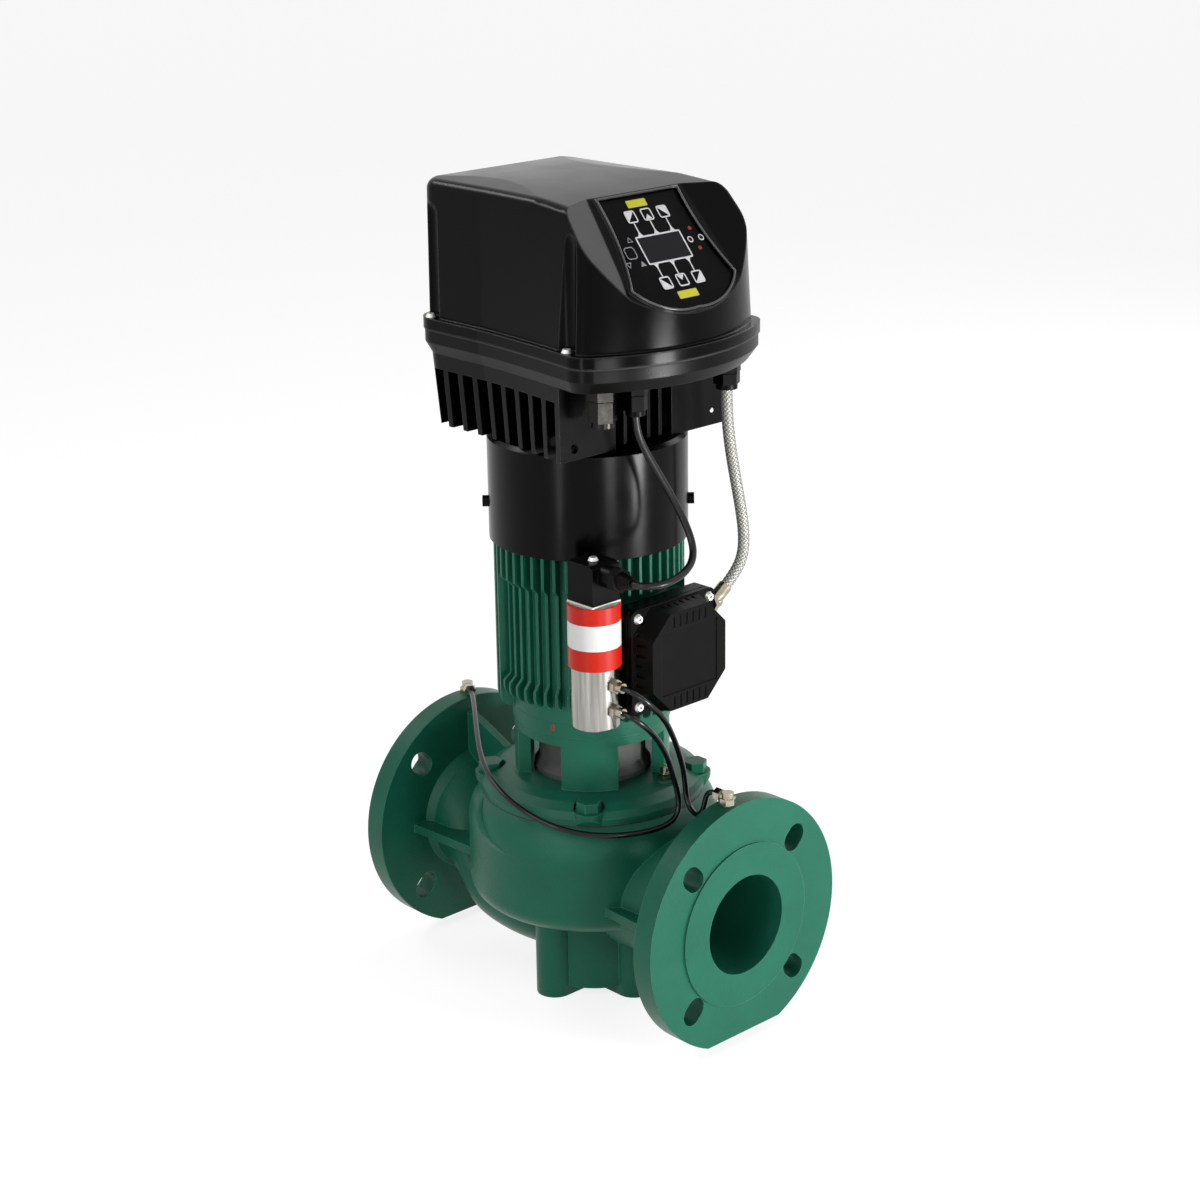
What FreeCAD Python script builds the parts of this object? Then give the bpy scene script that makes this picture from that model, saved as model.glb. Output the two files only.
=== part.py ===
# In-line circulation pump: a cast volute with two flanged ports in one line, a lantern
# bracket, a finned motor standing on it, and a speed controller on top of the fan cover.
# Units are millimetres. +Z is up along the motor shaft, +X points out of the discharge port.
# The origin is the centre of the foot, on the surface that the pump stands on.
import FreeCAD, Part
import math
import os

V = FreeCAD.Vector

# Ports and flanges
port_height = 101.0          # port axis above the foot face
port_to_port = 340.0         # face to face
bore_r = 40.0                # 80 mm nominal port
flange_r = 100.0
flange_t = 20.0
raised_r = 65.5              # sealing face on the flange
raised_h = 2.0
outlet_x0 = 76.0             # the outlet's bore runs from here to the face
tap_r = 4.6                  # tapped holes on top of the flanges
tap_x = 160.0
slot_inner_pcd = 150.0       # radial slots suit both bolt circles of this port size
slot_outer_pcd = 160.0
slot_r = 9.0
flange_flat_z = 9.0          # the flats cut under the flanges stay this far off the floor
neck_r = 49.0                # outside of the outlet's neck
neck_flare = 4.0             # it is this much thicker at the casing
gusset_t = 7.0
gusset_y = 65.0              # outer edge of the level gussets

# Volute casing
drum_r = 100.0               # outside of the scroll
drum_z0 = 79.0               # its underside
drum_low_r = 88.0            # where the underside's rounded edge starts
drum_z1 = 140.0              # its upright side ends here
casing_wall = 8.0
chamber_top = 138.0
elbow_x1 = -148.0            # the round suction bore ends here
elbow_ovals = [(elbow_x1 - 1, port_height, bore_r - 0.6, bore_r - 0.6), (-140.0, 99.0, 41.0, 39.9),
               (-128.0, 93.0, 42.0, 37.0), (-112.0, 80.0, 44.0, 34.0), (-92.0, 60.0, 46.0, 26.0),
               (-70.0, 54.0, 47.0, 24.0), (-40.0, 53.0, 47.0, 24.0), (-10.0, 54.0, 42.0, 23.0),
               (20.0, 56.0, 30.0, 20.0), (36.0, 58.0, 14.0, 10.0)]   # x, z, half width, half height
elbow_wall = 8.0
joint_z = 168.0              # top face of the volute
joint_r = 89.0
spigot_r = 68.0              # cover spigot in the volute
spigot_z = 128.0             # lower end of the spigot
spigot_clearance = 0.15
casing_bolt_pcd = 163.0
casing_bolt_r = 5.0
casing_bolt_depth = 24.0
casing_ear_r = 12.5
casing_bolt_seat = 179.0
casing_ear_reach = 95.0
gasket_t = 1.0

# Foot
foot_pcd = 90.0
foot_lobe_r = 15.0
foot_core_r = 46.0
foot_recess = 8.0            # the core stops this far above the floor
foot_hole_r = 5.0
foot_hole_depth = 20.0

# Pumping parts
impeller_r = 56.0
impeller_z = 88.0            # underside of the front shroud
impeller_width = 10.0
shroud_t = 3.5
blade_count = 6
blade_t = 3.0
eye_r = 30.0
shaft_r = 12.0
seal_shaft_r = 14.0
seal_bore_r = 24.0
housing_r = 46.3             # seal housing in the lantern's windows

# Lantern bracket
cover_top_z = 186.0
lantern_r = 61.5
lantern_ring_z = 222.0
lantern_ring_h = 8.0
pillar_half_width = 22.0
pillar_t = 9.0

# Vent valve
vent_at = (66.0, 17.0)
vent_boss_z = 186.0
vent_boss_r = 8.5
vent_thread_r = 4.2
vent_screw_r = 2.5

# Motor
frame_z0 = 243.0
frame_z1 = 384.0
frame_r = 64.0
frame_wall = 7.0
fin_r = 74.0
fin_round = 9.0              # rounding of a fin's lower corner
short_fins = (-112.0, -30.0)     # fins between these angles start higher up and are stepped
short_fin_z0 = 254.0
fin_step = 5.5               # the middle stretch of a stepped fin is this much lower
fin_step_z0 = 268.0
fin_step_z1 = 352.0
fin_count = 48
fin_t = 2.2
shield_r = 62.5
bearing_seat = 7.0           # height of the lower bearing in its shield
rotor_r = 32.5
air_gap = 0.5
core_z0 = 264.0
core_z1 = 356.0
bearing_r = 31.0
bearing_h = 16.0
motor_shaft_r = 15.0
running_clearance = 0.05

# Fan and its cover
fan_cover_r = 77.0
fan_cover_z0 = 378.0
fan_cover_z1 = 461.0
fan_cover_wall = 2.0
fan_r = 62.0
fan_z = 408.0
fan_blades = 8
cover_screw_z = 404.0

# Heat sink
sink_x0, sink_x1 = -96.0, 62.5
sink_z0 = fan_cover_z1
sink_draft = 6.0             # the fins are this much narrower at their lower edge
sink_base_t = 12.0
sink_fin_count = 10
sink_fin_t = 5.0
sink_plate_t = 5.0           # the front fin is a plate
sink_gap_y = 29.0            # half of the window in it
sink_rib_pitch = 12.0        # ribs behind the window

# Controller housing
rim_z0 = 518.0               # underside of the housing's rim
rim_z_low = 527.0            # the rim is tapered below this
tray_z1 = 536.0              # joint between tray and lid
rim_z1 = 546.0
rim_proud = 5.0
rim_taper = 1.0              # inset of the rim's lower edge
lid_back_x = -100.0
lid_corner_x = 88.0
lid_front_x = 121.0          # the front is bowed out to here
lid_half_y = 90.0            # at the front corners
lid_rear_half_y = 77.0       # the sides are straight at the rear
flare_x = -30.0              # and flare out from here to the front corners
flare_share = 0.38           # share of the flare that is reached half way
lid_top_half_y = 79.0
lid_top_rear_half_y = 75.0
corner_r = 15.0
roof_z = 650.0
roof_crown = 4.0
roof_round = 8.0
lid_wall = 3.0
tray_t = 4.0
lid_seal_t = 1.0

# Display slope and what sits in it
slope_angle = 50.0           # fall of the slope towards the front
panel_x, panel_z = 85.5, 611.0   # middle of the display on the slope
facet_top_y = 47.0           # where a side facet starts at the roof
facet_corner = (84.0, 80.0, 624.0)
facet_splay = 0.1            # the facets spread by this much for each unit down the slope
overlay_t = 1.2
overlay_top_half = 39.5
overlay_mid_half = 41.5
overlay_low_half = 51.0
overlay_up = 44.5
overlay_down = 30.0
overlay_bottom = 50.5
lip_w, lip_h = 3.5, 1.6      # raised border of the overlay
display_half_y, display_half_s = 20.6, 10.2
key_half = 5.2
key_t = 2.3
key_proud = 0.4
key_pitch = 16.0
key_row = 28.0
side_key_y = -34.0
key_gap = 0.3
light_r = 1.6
light_gap = 0.1
board_t = 1.6
board_half_y, board_half_s = 42.0, 36.0

# Lid screws
lid_screws_at = ((74.0, 86.5), (74.0, -86.5), (-89.0, -77.0), (-89.0, 77.0))
well_r = 11.0
well_top = 624.0
small_screw_r = 2.0
small_head_r = 4.0

# Terminal box on the +X side of the motor
box_z = 303.0
box_half_y = 44.0
box_half_z = 42.0
box_x0 = 76.0
box_x1 = 89.0
box_face_x = 110.0
box_face_half = 38.5
box_face_corner = 19.0
box_wall = 2.5
box_screw_y, box_screw_z = 37.5, 35.0
box_panel_half = 29.5        # plain panel sunk in the middle of the lid
box_panel_half_z = 25.0
box_panel_depth = 0.8

# Pressure sensor beside the motor
sensor_x, sensor_y = 76.0, -66.0
sensor_r = 18.4
sleeve_r = 20.2
sensor_z0 = 257.5
sleeve_z0 = 306.0
sleeve_z1 = 355.0
label_z0, label_z1 = 322.0, 342.0
connector_half = 13.5
connector_z1 = 387.0
connector_gland_z = 378.0

# Cable entries under the housing's front overhang
blanking_at = (84.0, -62.0)
blanking_across = 20.0
blanking_z0 = 489.0
sensor_gland_at = (88.0, -33.0)
entry_r = 7.0
throat_depth = 3.0
conduit_gland_at = (88.0, 62.0)

# Cords
flange_top = port_height + flange_r
capillary_r = 2.2
sensor_cable_r = 2.8
conduit_r = 4.6
discharge_route = [(104.5, -63.9, 293.0), (110.5, -63.5, 293.0), (117.0, -57.0, 286.5),
                   (120.0, -47.5, 277.0), (119.0, -35.0, 264.0), (116.0, -24.5, 248.0),
                   (111.0, -13.5, 231.0), (106.5, -4.0, 213.0), (104.0, 0.5, 199.0),
                   (104.5, 1.0, 187.5), (110.0, -0.5, 179.5), (119.0, -3.0, 177.5),
                   (127.5, -5.5, 181.5), (132.5, -7.5, 190.0), (136.0, -9.0, flange_top - 1.5),
                   (141.5, -10.0, flange_top + 5), (148.0, -10.0, flange_top + 5)]
suction_route = [(104.5, -63.9, 273.0), (110.0, -63.5, 273.0), (115.0, -57.5, 267.0),
                 (116.5, -48.0, 258.0), (112.5, -34.5, 244.0), (106.0, -20.5, 227.0),
                 (101.0, -10.0, 208.0), (100.0, -4.0, 192.0), (102.0, -3.5, 180.5),
                 (103.5, -9.0, 172.0), (103.0, -19.0, 168.5), (100.0, -31.0, 167.0),
                 (94.0, -45.0, 166.5), (84.0, -62.0, 167.0), (69.0, -79.0, 169.5),
                 (48.0, -93.0, 175.0), (19.0, -100.0, 184.0), (-14.0, -95.0, 193.0),
                 (-47.0, -77.0, 199.0), (-77.0, -55.0, 203.0),
                 (-105.0, -33.0, flange_top + 4.5), (-128.0, -15.0, flange_top + 5),
                 (-141.0, -5.0, flange_top + 5), (-150.0, 0.0, flange_top + 5)]
sensor_cable_route = [(88.0, -33.0, 496.0), (88.0, -33.0, 484.0), (90.5, -28.0, 468.0),
                      (96.0, -19.0, 449.0), (103.0, -10.5, 429.0), (111.5, -5.5, 410.0),
                      (120.5, -6.5, 395.0), (127.5, -14.0, 386.0), (132.0, -26.5, 381.0),
                      (134.5, -40.0, 379.0), (134.0, -52.0, 378.0), (130.0, -62.0, 378.0),
                      (124.0, -66.0, 378.0), (118.0, -66.0, 378.0)]
conduit_box_z = 330.0        # height of the conduit's adapter on the terminal box
conduit_route = [(88.0, 62.0, 499.0), (88.0, 62.0, 480.0), (88.0, 65.5, 452.0),
                 (88.0, 71.5, 425.0), (88.0, 77.5, 400.0), (88.0, 81.5, 378.0),
                 (88.0, 80.5, conduit_box_z + 30), (88.0, 71.0, conduit_box_z + 17),
                 (88.0, 60.6, conduit_box_z + 9.7)]


def cyl(r, h, x=0.0, y=0.0, z=0.0, axis=(0, 0, 1)):
    """Cylinder from its base centre along an axis."""
    return Part.makeCylinder(r, h, V(x, y, z), V(*axis))


def ring(r_out, r_in, h, x=0.0, y=0.0, z=0.0, axis=(0, 0, 1)):
    return cyl(r_out, h, x, y, z, axis).cut(cyl(r_in, h, x, y, z, axis))


def block(x0, x1, y0, y1, z0, z1):
    return Part.makeBox(x1 - x0, y1 - y0, z1 - z0, V(x0, y0, z0))


def prism(points, depth):
    """Closed polygon of 3-D points, pushed along a vector."""
    wire = Part.makePolygon([V(*p) for p in points] + [V(*points[0])])
    return Part.Face(wire).extrude(V(*depth))


def turned(profile):
    """Closed profile of (radius, height) points, turned about the motor axis."""
    points = [V(r, 0, z) for r, z in profile]
    wire = Part.makePolygon(points + [points[0]])
    return Part.Face(wire).revolve(V(0, 0, 0), V(0, 0, 1), 360)


def cone(r0, r1, h, x=0.0, y=0.0, z=0.0, axis=(0, 0, 1)):
    return Part.makeCone(r0, r1, h, V(x, y, z), V(*axis))


def spread(count, pitch, middle):
    """Evenly spaced places about a middle."""
    return [middle + pitch * (i - (count - 1) / 2) for i in range(count)]


def hexagon(across, h, x=0.0, y=0.0, z=0.0, axis=(0, 0, 1)):
    """Hexagonal prism with its base centred on a point."""
    radius = across / math.sqrt(3)
    corners = [(radius * math.cos(math.radians(60 * i)), radius * math.sin(math.radians(60 * i)), 0)
               for i in range(6)]
    solid = prism(corners, (0, 0, h))
    solid.Placement = FreeCAD.Placement(V(x, y, z), FreeCAD.Rotation(V(0, 0, 1), V(*axis)))
    return solid


def spun(shape, angle):
    """Copy of a shape turned about the motor axis."""
    copy = shape.copy()
    copy.rotate(V(0, 0, 0), V(0, 0, 1), angle)
    return copy


def polar(r, angle, z=0.0):
    return (r * math.cos(math.radians(angle)), r * math.sin(math.radians(angle)), z)


def fused(shapes):
    return shapes[0].multiFuse(shapes[1:]).removeSplitter()


def tube_path(points):
    """Straight runs joined by tangent arcs, each as large as its two runs allow."""
    corners = [V(*p) for p in points]
    edges = []
    radii = []
    here = corners[0]
    for before, corner, after in zip(corners, corners[1:], corners[2:]):
        run_in, run_out = corner - before, after - corner
        turn = run_in.getAngle(run_out)
        shorter = min(run_in.Length, run_out.Length)
        radius = 0.45 * shorter / math.tan(turn / 2)
        radii.append(radius)
        back = V(run_in).normalize()
        forth = V(run_out).normalize()
        reach = 0.45 * shorter
        start = corner - back * reach
        end = corner + forth * reach
        towards = (forth - back).normalize()
        middle = corner + towards * (radius / math.cos(turn / 2) - radius)
        if (start - here).Length > 1e-6:
            edges.append(Part.LineSegment(here, start).toShape())
        edges.append(Part.Arc(start, middle, end).toShape())
        here = end
    edges.append(Part.LineSegment(here, corners[-1]).toShape())
    return Part.Wire(edges), radii


def tube(points, r):
    """Round tube along such a path."""
    path, radii = tube_path(points)
    start = V(*points[0])
    heading = (V(*points[1]) - start).normalize()
    section = Part.Wire([Part.makeCircle(r, start, heading)])
    solid = path.makePipeShell([section], True, False)
    ideal = math.pi * r * r * path.Length
    print("  cord length %.1f volume ratio %.4f radii %s"
          % (path.Length, solid.Volume / ideal, " ".join("%.0f" % x for x in radii)))
    return solid


def flange(side):
    """One port flange with its sealing face, radial bolt slots and lower flat."""
    face_x = side * port_to_port / 2
    inward = (-side, 0, 0)
    plate = cyl(flange_r, flange_t - raised_h, face_x - side * raised_h, 0, port_height, inward)
    raised = cyl(raised_r, flange_t, face_x, 0, port_height, inward)
    body = plate.fuse(raised)
    for quarter in range(4):
        angle = math.radians(45 + 90 * quarter)
        slot = []
        for pcd in (slot_inner_pcd, slot_outer_pcd):
            y, z = pcd / 2 * math.cos(angle), pcd / 2 * math.sin(angle)
            slot.append(cyl(slot_r, flange_t, face_x, y, port_height + z, inward))
        run = (slot_outer_pcd - slot_inner_pcd) / 2
        web = Part.makeBox(flange_t, run, 2 * slot_r, V(0, slot_inner_pcd / 2, -slot_r))
        web.rotate(V(0, 0, 0), V(1, 0, 0), math.degrees(angle))
        web.translate(V(face_x - (flange_t if side > 0 else 0), 0, port_height))
        slot.append(web)
        body = body.cut(slot[0].multiFuse(slot[1:]))
    low = block(face_x - flange_t * 2, face_x + flange_t * 2, -flange_r, flange_r,
                flange_flat_z - flange_r, flange_flat_z)
    return body.cut(low)


def elbow(grow):
    """Suction elbow, flattened where it runs under the scroll: a smooth loft through ovals."""
    ovals = []
    across = FreeCAD.Rotation(V(0, 1, 0), V(0, 0, 1), V(1, 0, 0), "XYZ")
    for x, z, half_y, half_z in elbow_ovals:
        oval = Part.Ellipse(V(0, 0, 0), half_y + grow, half_z + grow - 0.05).toShape()
        oval.Placement = FreeCAD.Placement(V(x, 0, z), across)
        ovals.append(Part.Wire([oval]))
    return Part.makeLoft(ovals, True, False)


def scroll():
    """The scroll as a drum: rounded lower edge, upright side and a shoulder under the joint."""
    edge_z = drum_z0 + (drum_r - drum_low_r) * 1.5
    bevel = drum_low_r + (drum_r - drum_low_r) * 0.72
    outline = [(0, 0, drum_z0), (drum_low_r, 0, drum_z0),
               ((bevel, 0, drum_z0 + (edge_z - drum_z0) * 0.35), (drum_r, 0, edge_z)), (drum_r, 0, drum_z1),
               ((drum_r - 2.4, 0, joint_z - 12), (joint_r, 0, joint_z)), (0, 0, joint_z)]
    return outline_face(outline).revolve(V(0, 0, 0), V(0, 0, 1), 360)


def foot():
    """Column under the scroll: a round core, and four lobes that stand on the floor."""
    top = drum_z0 + 1
    core = cyl(foot_core_r, top - foot_recess, 0, 0, foot_recess)
    lobes = [cyl(foot_lobe_r, top, *polar(foot_pcd / 2, 90 * i)) for i in range(4)]
    webs = [block(0, foot_pcd / 2, -foot_lobe_r, foot_lobe_r, 0, top)]
    webs = [spun(webs[0], 90 * i) for i in range(4)]
    return core.multiFuse(lobes + webs)


def gussets():
    """Flat webs between each flange and the casing."""
    back = port_to_port / 2 - flange_t + 1
    half_t = gusset_t / 2
    low = port_height - half_t
    plates = []
    for side in (-1, 1):
        for wing in (-1, 1):
            outline = [(side * back, wing * 30, low), (side * back, wing * gusset_y, low),
                       (side * 74, wing * (gusset_y - 4), low), (side * 86, wing * 25, low)]
            plates.append(prism(outline, (0, 0, gusset_t)))
    top = joint_z + 20
    upright = [(-back, -half_t, port_height + 30), (-back, -half_t, top), (-back + 5, -half_t, top),
               (-103, -half_t, joint_z + 2), (-97, -half_t, joint_z - 8), (-90, -half_t, joint_z - 30),
               (-90, -half_t, port_height)]
    plates.append(prism(upright, (0, gusset_t, 0)))
    return plates


def casing_bolt_places():
    return [polar(casing_bolt_pcd / 2, 45 + 90 * i) for i in range(4)]


def volute_casing():
    half = port_to_port / 2
    neck = cone(neck_r + neck_flare, neck_r, half - flange_t - 60, 60, 0, port_height, (1, 0, 0))
    collars = [cone(neck_r + 4, neck_r - 1, 8, side * (half - flange_t + 1), 0, port_height,
                    (-side, 0, 0)) for side in (-1, 1)]
    body = fused([scroll(), flange(-1), flange(1), elbow(elbow_wall), neck, foot()] + collars
                 + gussets())
    body = body.cut(casing_water())
    for x, y, _ in casing_bolt_places():
        body = body.cut(cyl(casing_bolt_r, casing_bolt_depth, x, y, joint_z - casing_bolt_depth))
    for i in range(4):
        body = body.cut(cyl(foot_hole_r, foot_hole_depth, *polar(foot_pcd / 2, 90 * i)))
    for hole in tap_holes():
        body = body.cut(hole)
    return body


def casing_water():
    """Everything the water fills in the casing, and the mouth for the cover's spigot."""
    half = port_to_port / 2
    inlet_port = cyl(bore_r, half + elbow_x1, -half, 0, port_height, (1, 0, 0))
    outlet = cyl(bore_r, half - outlet_x0, half, 0, port_height, (-1, 0, 0))
    eye_z = drum_z0 - 20
    chamber_z = drum_z0 + casing_wall - 1
    eye = cyl(eye_r + 4, chamber_z - eye_z, 0, 0, eye_z)
    wide = drum_r - casing_wall
    chamber = turned([(0, chamber_z), (wide - 8, chamber_z), (wide, chamber_z + 8),
                      (wide, chamber_top - 10), (wide - 8, chamber_top - 2), (spigot_r + 2, chamber_top),
                      (0, chamber_top)])
    mouth = cyl(spigot_r, joint_z - chamber_top + 1, 0, 0, chamber_top - 1)
    return elbow(0).multiFuse([inlet_port, outlet, eye, chamber, mouth])


def cover_ears(base):
    """Seats of the casing bolts: lobes on the cover that grow out of its edge."""
    top = casing_bolt_seat
    taper = turned([(0, base), (joint_r, base), (casing_ear_reach, base + 7), (casing_ear_reach, top),
                    (0, top)])
    return [cyl(casing_ear_r, top - base, x, y, base).common(taper)
            for x, y, _ in casing_bolt_places()]


def lantern_bracket():
    """Cover of the volute, four pillars and the ring that carries the motor."""
    base = joint_z + gasket_t
    floor = cover_top_z - 14
    fit_r = spigot_r - spigot_clearance
    cover = turned([(seal_bore_r, spigot_z), (fit_r, spigot_z), (fit_r, base), (joint_r, base),
                    (joint_r, base + 5), (joint_r - 3, base + 10), (joint_r - 12, cover_top_z - 2.5),
                    (lantern_r + 4, cover_top_z), (housing_r + 0.2, cover_top_z),
                    (housing_r + 0.2, floor), (seal_bore_r, floor)])
    collar = ring(lantern_r, housing_r + 0.5, lantern_ring_h, 0, 0, lantern_ring_z)
    parts = [cover, collar] + cover_ears(base)
    height = lantern_ring_z - cover_top_z + 2
    tall = cyl(lantern_r, height, 0, 0, cover_top_z - 1).cut(
        cyl(lantern_r - pillar_t, height, 0, 0, cover_top_z - 1))
    for i in range(4):
        strip = block(0, lantern_r + 5, -pillar_half_width, pillar_half_width, cover_top_z - 1,
                      cover_top_z + height)
        parts.append(tall.common(spun(strip, 45 + 90 * i)))
    body = fused(parts)
    for x, y, _ in casing_bolt_places():
        body = body.cut(cyl(casing_bolt_r + 0.5, 40, x, y, base - 1))
        pocket = cyl(casing_ear_r - 0.5, 20, x, y, casing_bolt_seat)
        body = body.cut(pocket.cut(cyl(lantern_r + 0.5, 60, 0, 0, base)))
    x, y = vent_at
    body = body.fuse(cyl(vent_boss_r, vent_boss_z - base - 4, x, y, base + 4))
    return body.cut(cyl(vent_thread_r, 7, x, y, vent_boss_z - 7))


def casing_gasket():
    sheet = ring(joint_r, spigot_r + 1, gasket_t, 0, 0, joint_z)
    for x, y, _ in casing_bolt_places():
        sheet = sheet.cut(cyl(casing_bolt_r + 0.5, gasket_t, x, y, joint_z))
    return sheet


def casing_bolts():
    depth = casing_bolt_depth - 4
    bolts = []
    for x, y, _ in casing_bolt_places():
        shank = cyl(casing_bolt_r - 0.1, casing_bolt_seat - joint_z + depth, x, y, joint_z - depth)
        bolts.append(shank.fuse(hexagon(17, 8, x, y, casing_bolt_seat)))
    return bolts


def seal_housing():
    """Grey housing in the lantern windows; it holds the shaft seal's seat."""
    floor = cover_top_z - 14
    waist = housing_r - 4
    top = lantern_ring_z - 3
    seat_r = seal_bore_r + 4
    return turned([(seal_bore_r, floor), (housing_r, floor), (housing_r, cover_top_z + 4),
                   (waist, cover_top_z + 10), (waist, top - 3), (waist - 4, top), (seal_shaft_r + 2, top),
                   (seal_shaft_r + 2, top - 7), (seat_r, top - 11), (seat_r, floor + 6),
                   (seal_bore_r, floor + 6)])


def seal_seat():
    return ring(seal_bore_r + 3.9, seal_shaft_r + 1, 6, 0, 0, cover_top_z - 8)


def shaft():
    """Pump and motor shaft in one piece, stepped at its seats."""
    return turned([(0, impeller_z - 7), (shaft_r - 4, impeller_z - 7), (shaft_r - 4, impeller_z + 1),
                   (shaft_r, impeller_z + 1), (shaft_r, impeller_z + 28), (seal_shaft_r, impeller_z + 28),
                   (seal_shaft_r, lantern_ring_z + 4), (motor_shaft_r, lantern_ring_z + 4),
                   (motor_shaft_r, core_z0 - 10), (motor_shaft_r + 3, core_z0 - 10),
                   (motor_shaft_r + 3, core_z1 + 10), (motor_shaft_r, core_z1 + 10),
                   (motor_shaft_r, fan_z - 6), (shaft_r, fan_z - 6), (shaft_r, fan_z + 22),
                   (0, fan_z + 22)])


def impeller():
    """Closed impeller: two shrouds, a hub and backward curved blades."""
    z0, z1 = impeller_z, impeller_z + shroud_t
    z2, z3 = z1 + impeller_width, z1 + impeller_width + shroud_t
    front = turned([(eye_r - 3, z0 - 1.5), (eye_r, z0 - 1.5), (eye_r, z0), (impeller_r, z0),
                    (impeller_r, z1), (eye_r, z1), (eye_r - 3, z1 - 1)])
    back = ring(impeller_r, shaft_r + 0.1, shroud_t, 0, 0, z2)
    hub = ring(19, shaft_r + 0.1, z3 - z0 + 6, 0, 0, z0 + 2)
    blades = []
    for i in range(blade_count):
        inner, outer = 18.0, impeller_r - 0.5
        curve = []
        for step in range(5):
            share = step / 4
            curve.append(polar(inner + (outer - inner) * share, -55 * share, z1 - 0.5))
        thick = []
        for x, y, _ in reversed(curve):
            r = math.hypot(x, y)
            thick.append(polar(r, math.degrees(math.atan2(y, x) + blade_t / r), z1 - 0.5))
        blades.append(spun(prism(curve + thick, (0, 0, impeller_width + 1)), 360 / blade_count * i))
    return fused([front, back, hub] + blades)


def impeller_nut():
    nut = hexagon(19, 7, 0, 0, impeller_z - 6.5)
    return nut.cut(cyl(shaft_r - 3.9, 8, 0, 0, impeller_z - 7))


def seal_ring():
    """Rotating half of the shaft seal with its spring."""
    seat = cover_top_z - 8
    head = ring(22, seal_shaft_r + 0.1, 7, 0, 0, seat - 7.3)
    spring = ring(18.5, seal_shaft_r + 0.1, 26, 0, 0, seat - 33.3)
    return head.fuse(spring)


def drive_end_shield():
    """Lower motor cover: it sits on the lantern ring and holds the lower bearing."""
    z0 = lantern_ring_z + lantern_ring_h
    seat_z = z0 + bearing_seat
    return turned([(motor_shaft_r + 1.5, z0 - 5), (housing_r + 0.4, z0 - 5), (housing_r + 0.4, z0),
                   (shield_r, z0),
                   (shield_r, frame_z0), (frame_r - frame_wall - 0.1, frame_z0),
                   (frame_r - frame_wall - 0.1, frame_z0 + 5), (bearing_r + 6, frame_z0 + 5),
                   (bearing_r + 6, seat_z + bearing_h), (bearing_r + 0.05, seat_z + bearing_h),
                   (bearing_r + 0.05, seat_z), (motor_shaft_r + 1.5, seat_z)])


def bearing(z):
    race = ring(bearing_r, motor_shaft_r + running_clearance, bearing_h, 0, 0, z)
    groove = ring(bearing_r - 5, motor_shaft_r + 5, 0.8, 0, 0, z)
    upper_groove = ring(bearing_r - 5, motor_shaft_r + 5, 0.8, 0, 0, z + bearing_h - 0.8)
    return race.cut(groove).cut(upper_groove)


def fin(stepped):
    """One cooling fin, rounded at its foot; a stepped one has its middle stretch cut lower."""
    inner = frame_r - 1
    seat_r = fan_cover_r - fan_cover_wall - 0.1
    z0 = short_fin_z0 if stepped else frame_z0
    y = -fin_t / 2
    bend = fin_round * (1 - math.sqrt(0.5))
    outline = [(inner, y, z0), (fin_r - fin_round, y, z0),
               ((fin_r - bend, y, z0 + bend), (fin_r, y, z0 + fin_round))]
    if stepped:
        outline += [(fin_r, y, fin_step_z0), (fin_r - fin_step, y, fin_step_z0 + fin_step),
                    (fin_r - fin_step, y, fin_step_z1 - fin_step), (fin_r, y, fin_step_z1)]
    outline += [(fin_r, y, fan_cover_z0 - 1), (seat_r, y, fan_cover_z0 - 1), (seat_r, y, frame_z1),
                (inner, y, frame_z1)]
    return outline_form(outline, (0, fin_t, 0))


def motor_frame():
    """Extruded-looking cast frame with upright fins and a pad for the terminal box."""
    tube_body = ring(frame_r, frame_r - frame_wall, frame_z1 - frame_z0, 0, 0, frame_z0)
    beside_box = block(0, fin_r + 5, -box_half_y, box_half_y, box_z - box_half_z - 2,
                       box_z + box_half_z + 2)
    fins = []
    for i in range(fin_count):
        angle = 360 / fin_count * (i + 0.5 - fin_count / 2)
        piece = spun(fin(short_fins[0] < angle < short_fins[1]), angle)
        fins.append(piece.cut(beside_box) if abs(angle) < 40 else piece)
    pad = block(frame_r - 12, box_x0, -box_half_y + 8, box_half_y - 8, box_z - 36, box_z + 36)
    pad = pad.cut(cyl(frame_r - 1, 400))
    window = cyl(9, 30, frame_r - 16, 0, box_z, (1, 0, 0))
    body = fused([tube_body, pad] + fins).cut(window)
    for x, y, _ in shield_screw_places():
        body = body.cut(cyl(small_screw_r, 13, x, y, frame_z1 - 12))
    return body


def stator_core():
    core = ring(frame_r - frame_wall - 0.1, rotor_r + air_gap, core_z1 - core_z0, 0, 0, core_z0)
    slot = block(rotor_r + 4, rotor_r + 16, -2, 2, core_z0, core_z1)
    return core.cut(slot.multiFuse([spun(slot, 30 * i) for i in range(1, 12)]))


def stator_windings():
    low = ring(52, rotor_r + 4, 10, 0, 0, core_z0 - 10)
    high = ring(52, rotor_r + 4, 10, 0, 0, core_z1)
    bar = block(rotor_r + 4.2, rotor_r + 15.8, -1.8, 1.8, core_z0 - 1, core_z1 + 1)
    return fused([low, high] + [spun(bar, 30 * i) for i in range(12)])


def rotor_core():
    body = ring(rotor_r, motor_shaft_r + 3, core_z1 - core_z0, 0, 0, core_z0)
    ends = [ring(rotor_r - 3, motor_shaft_r + 3, 6, 0, 0, z) for z in (core_z0 - 6, core_z1)]
    return fused([body] + ends)


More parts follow.
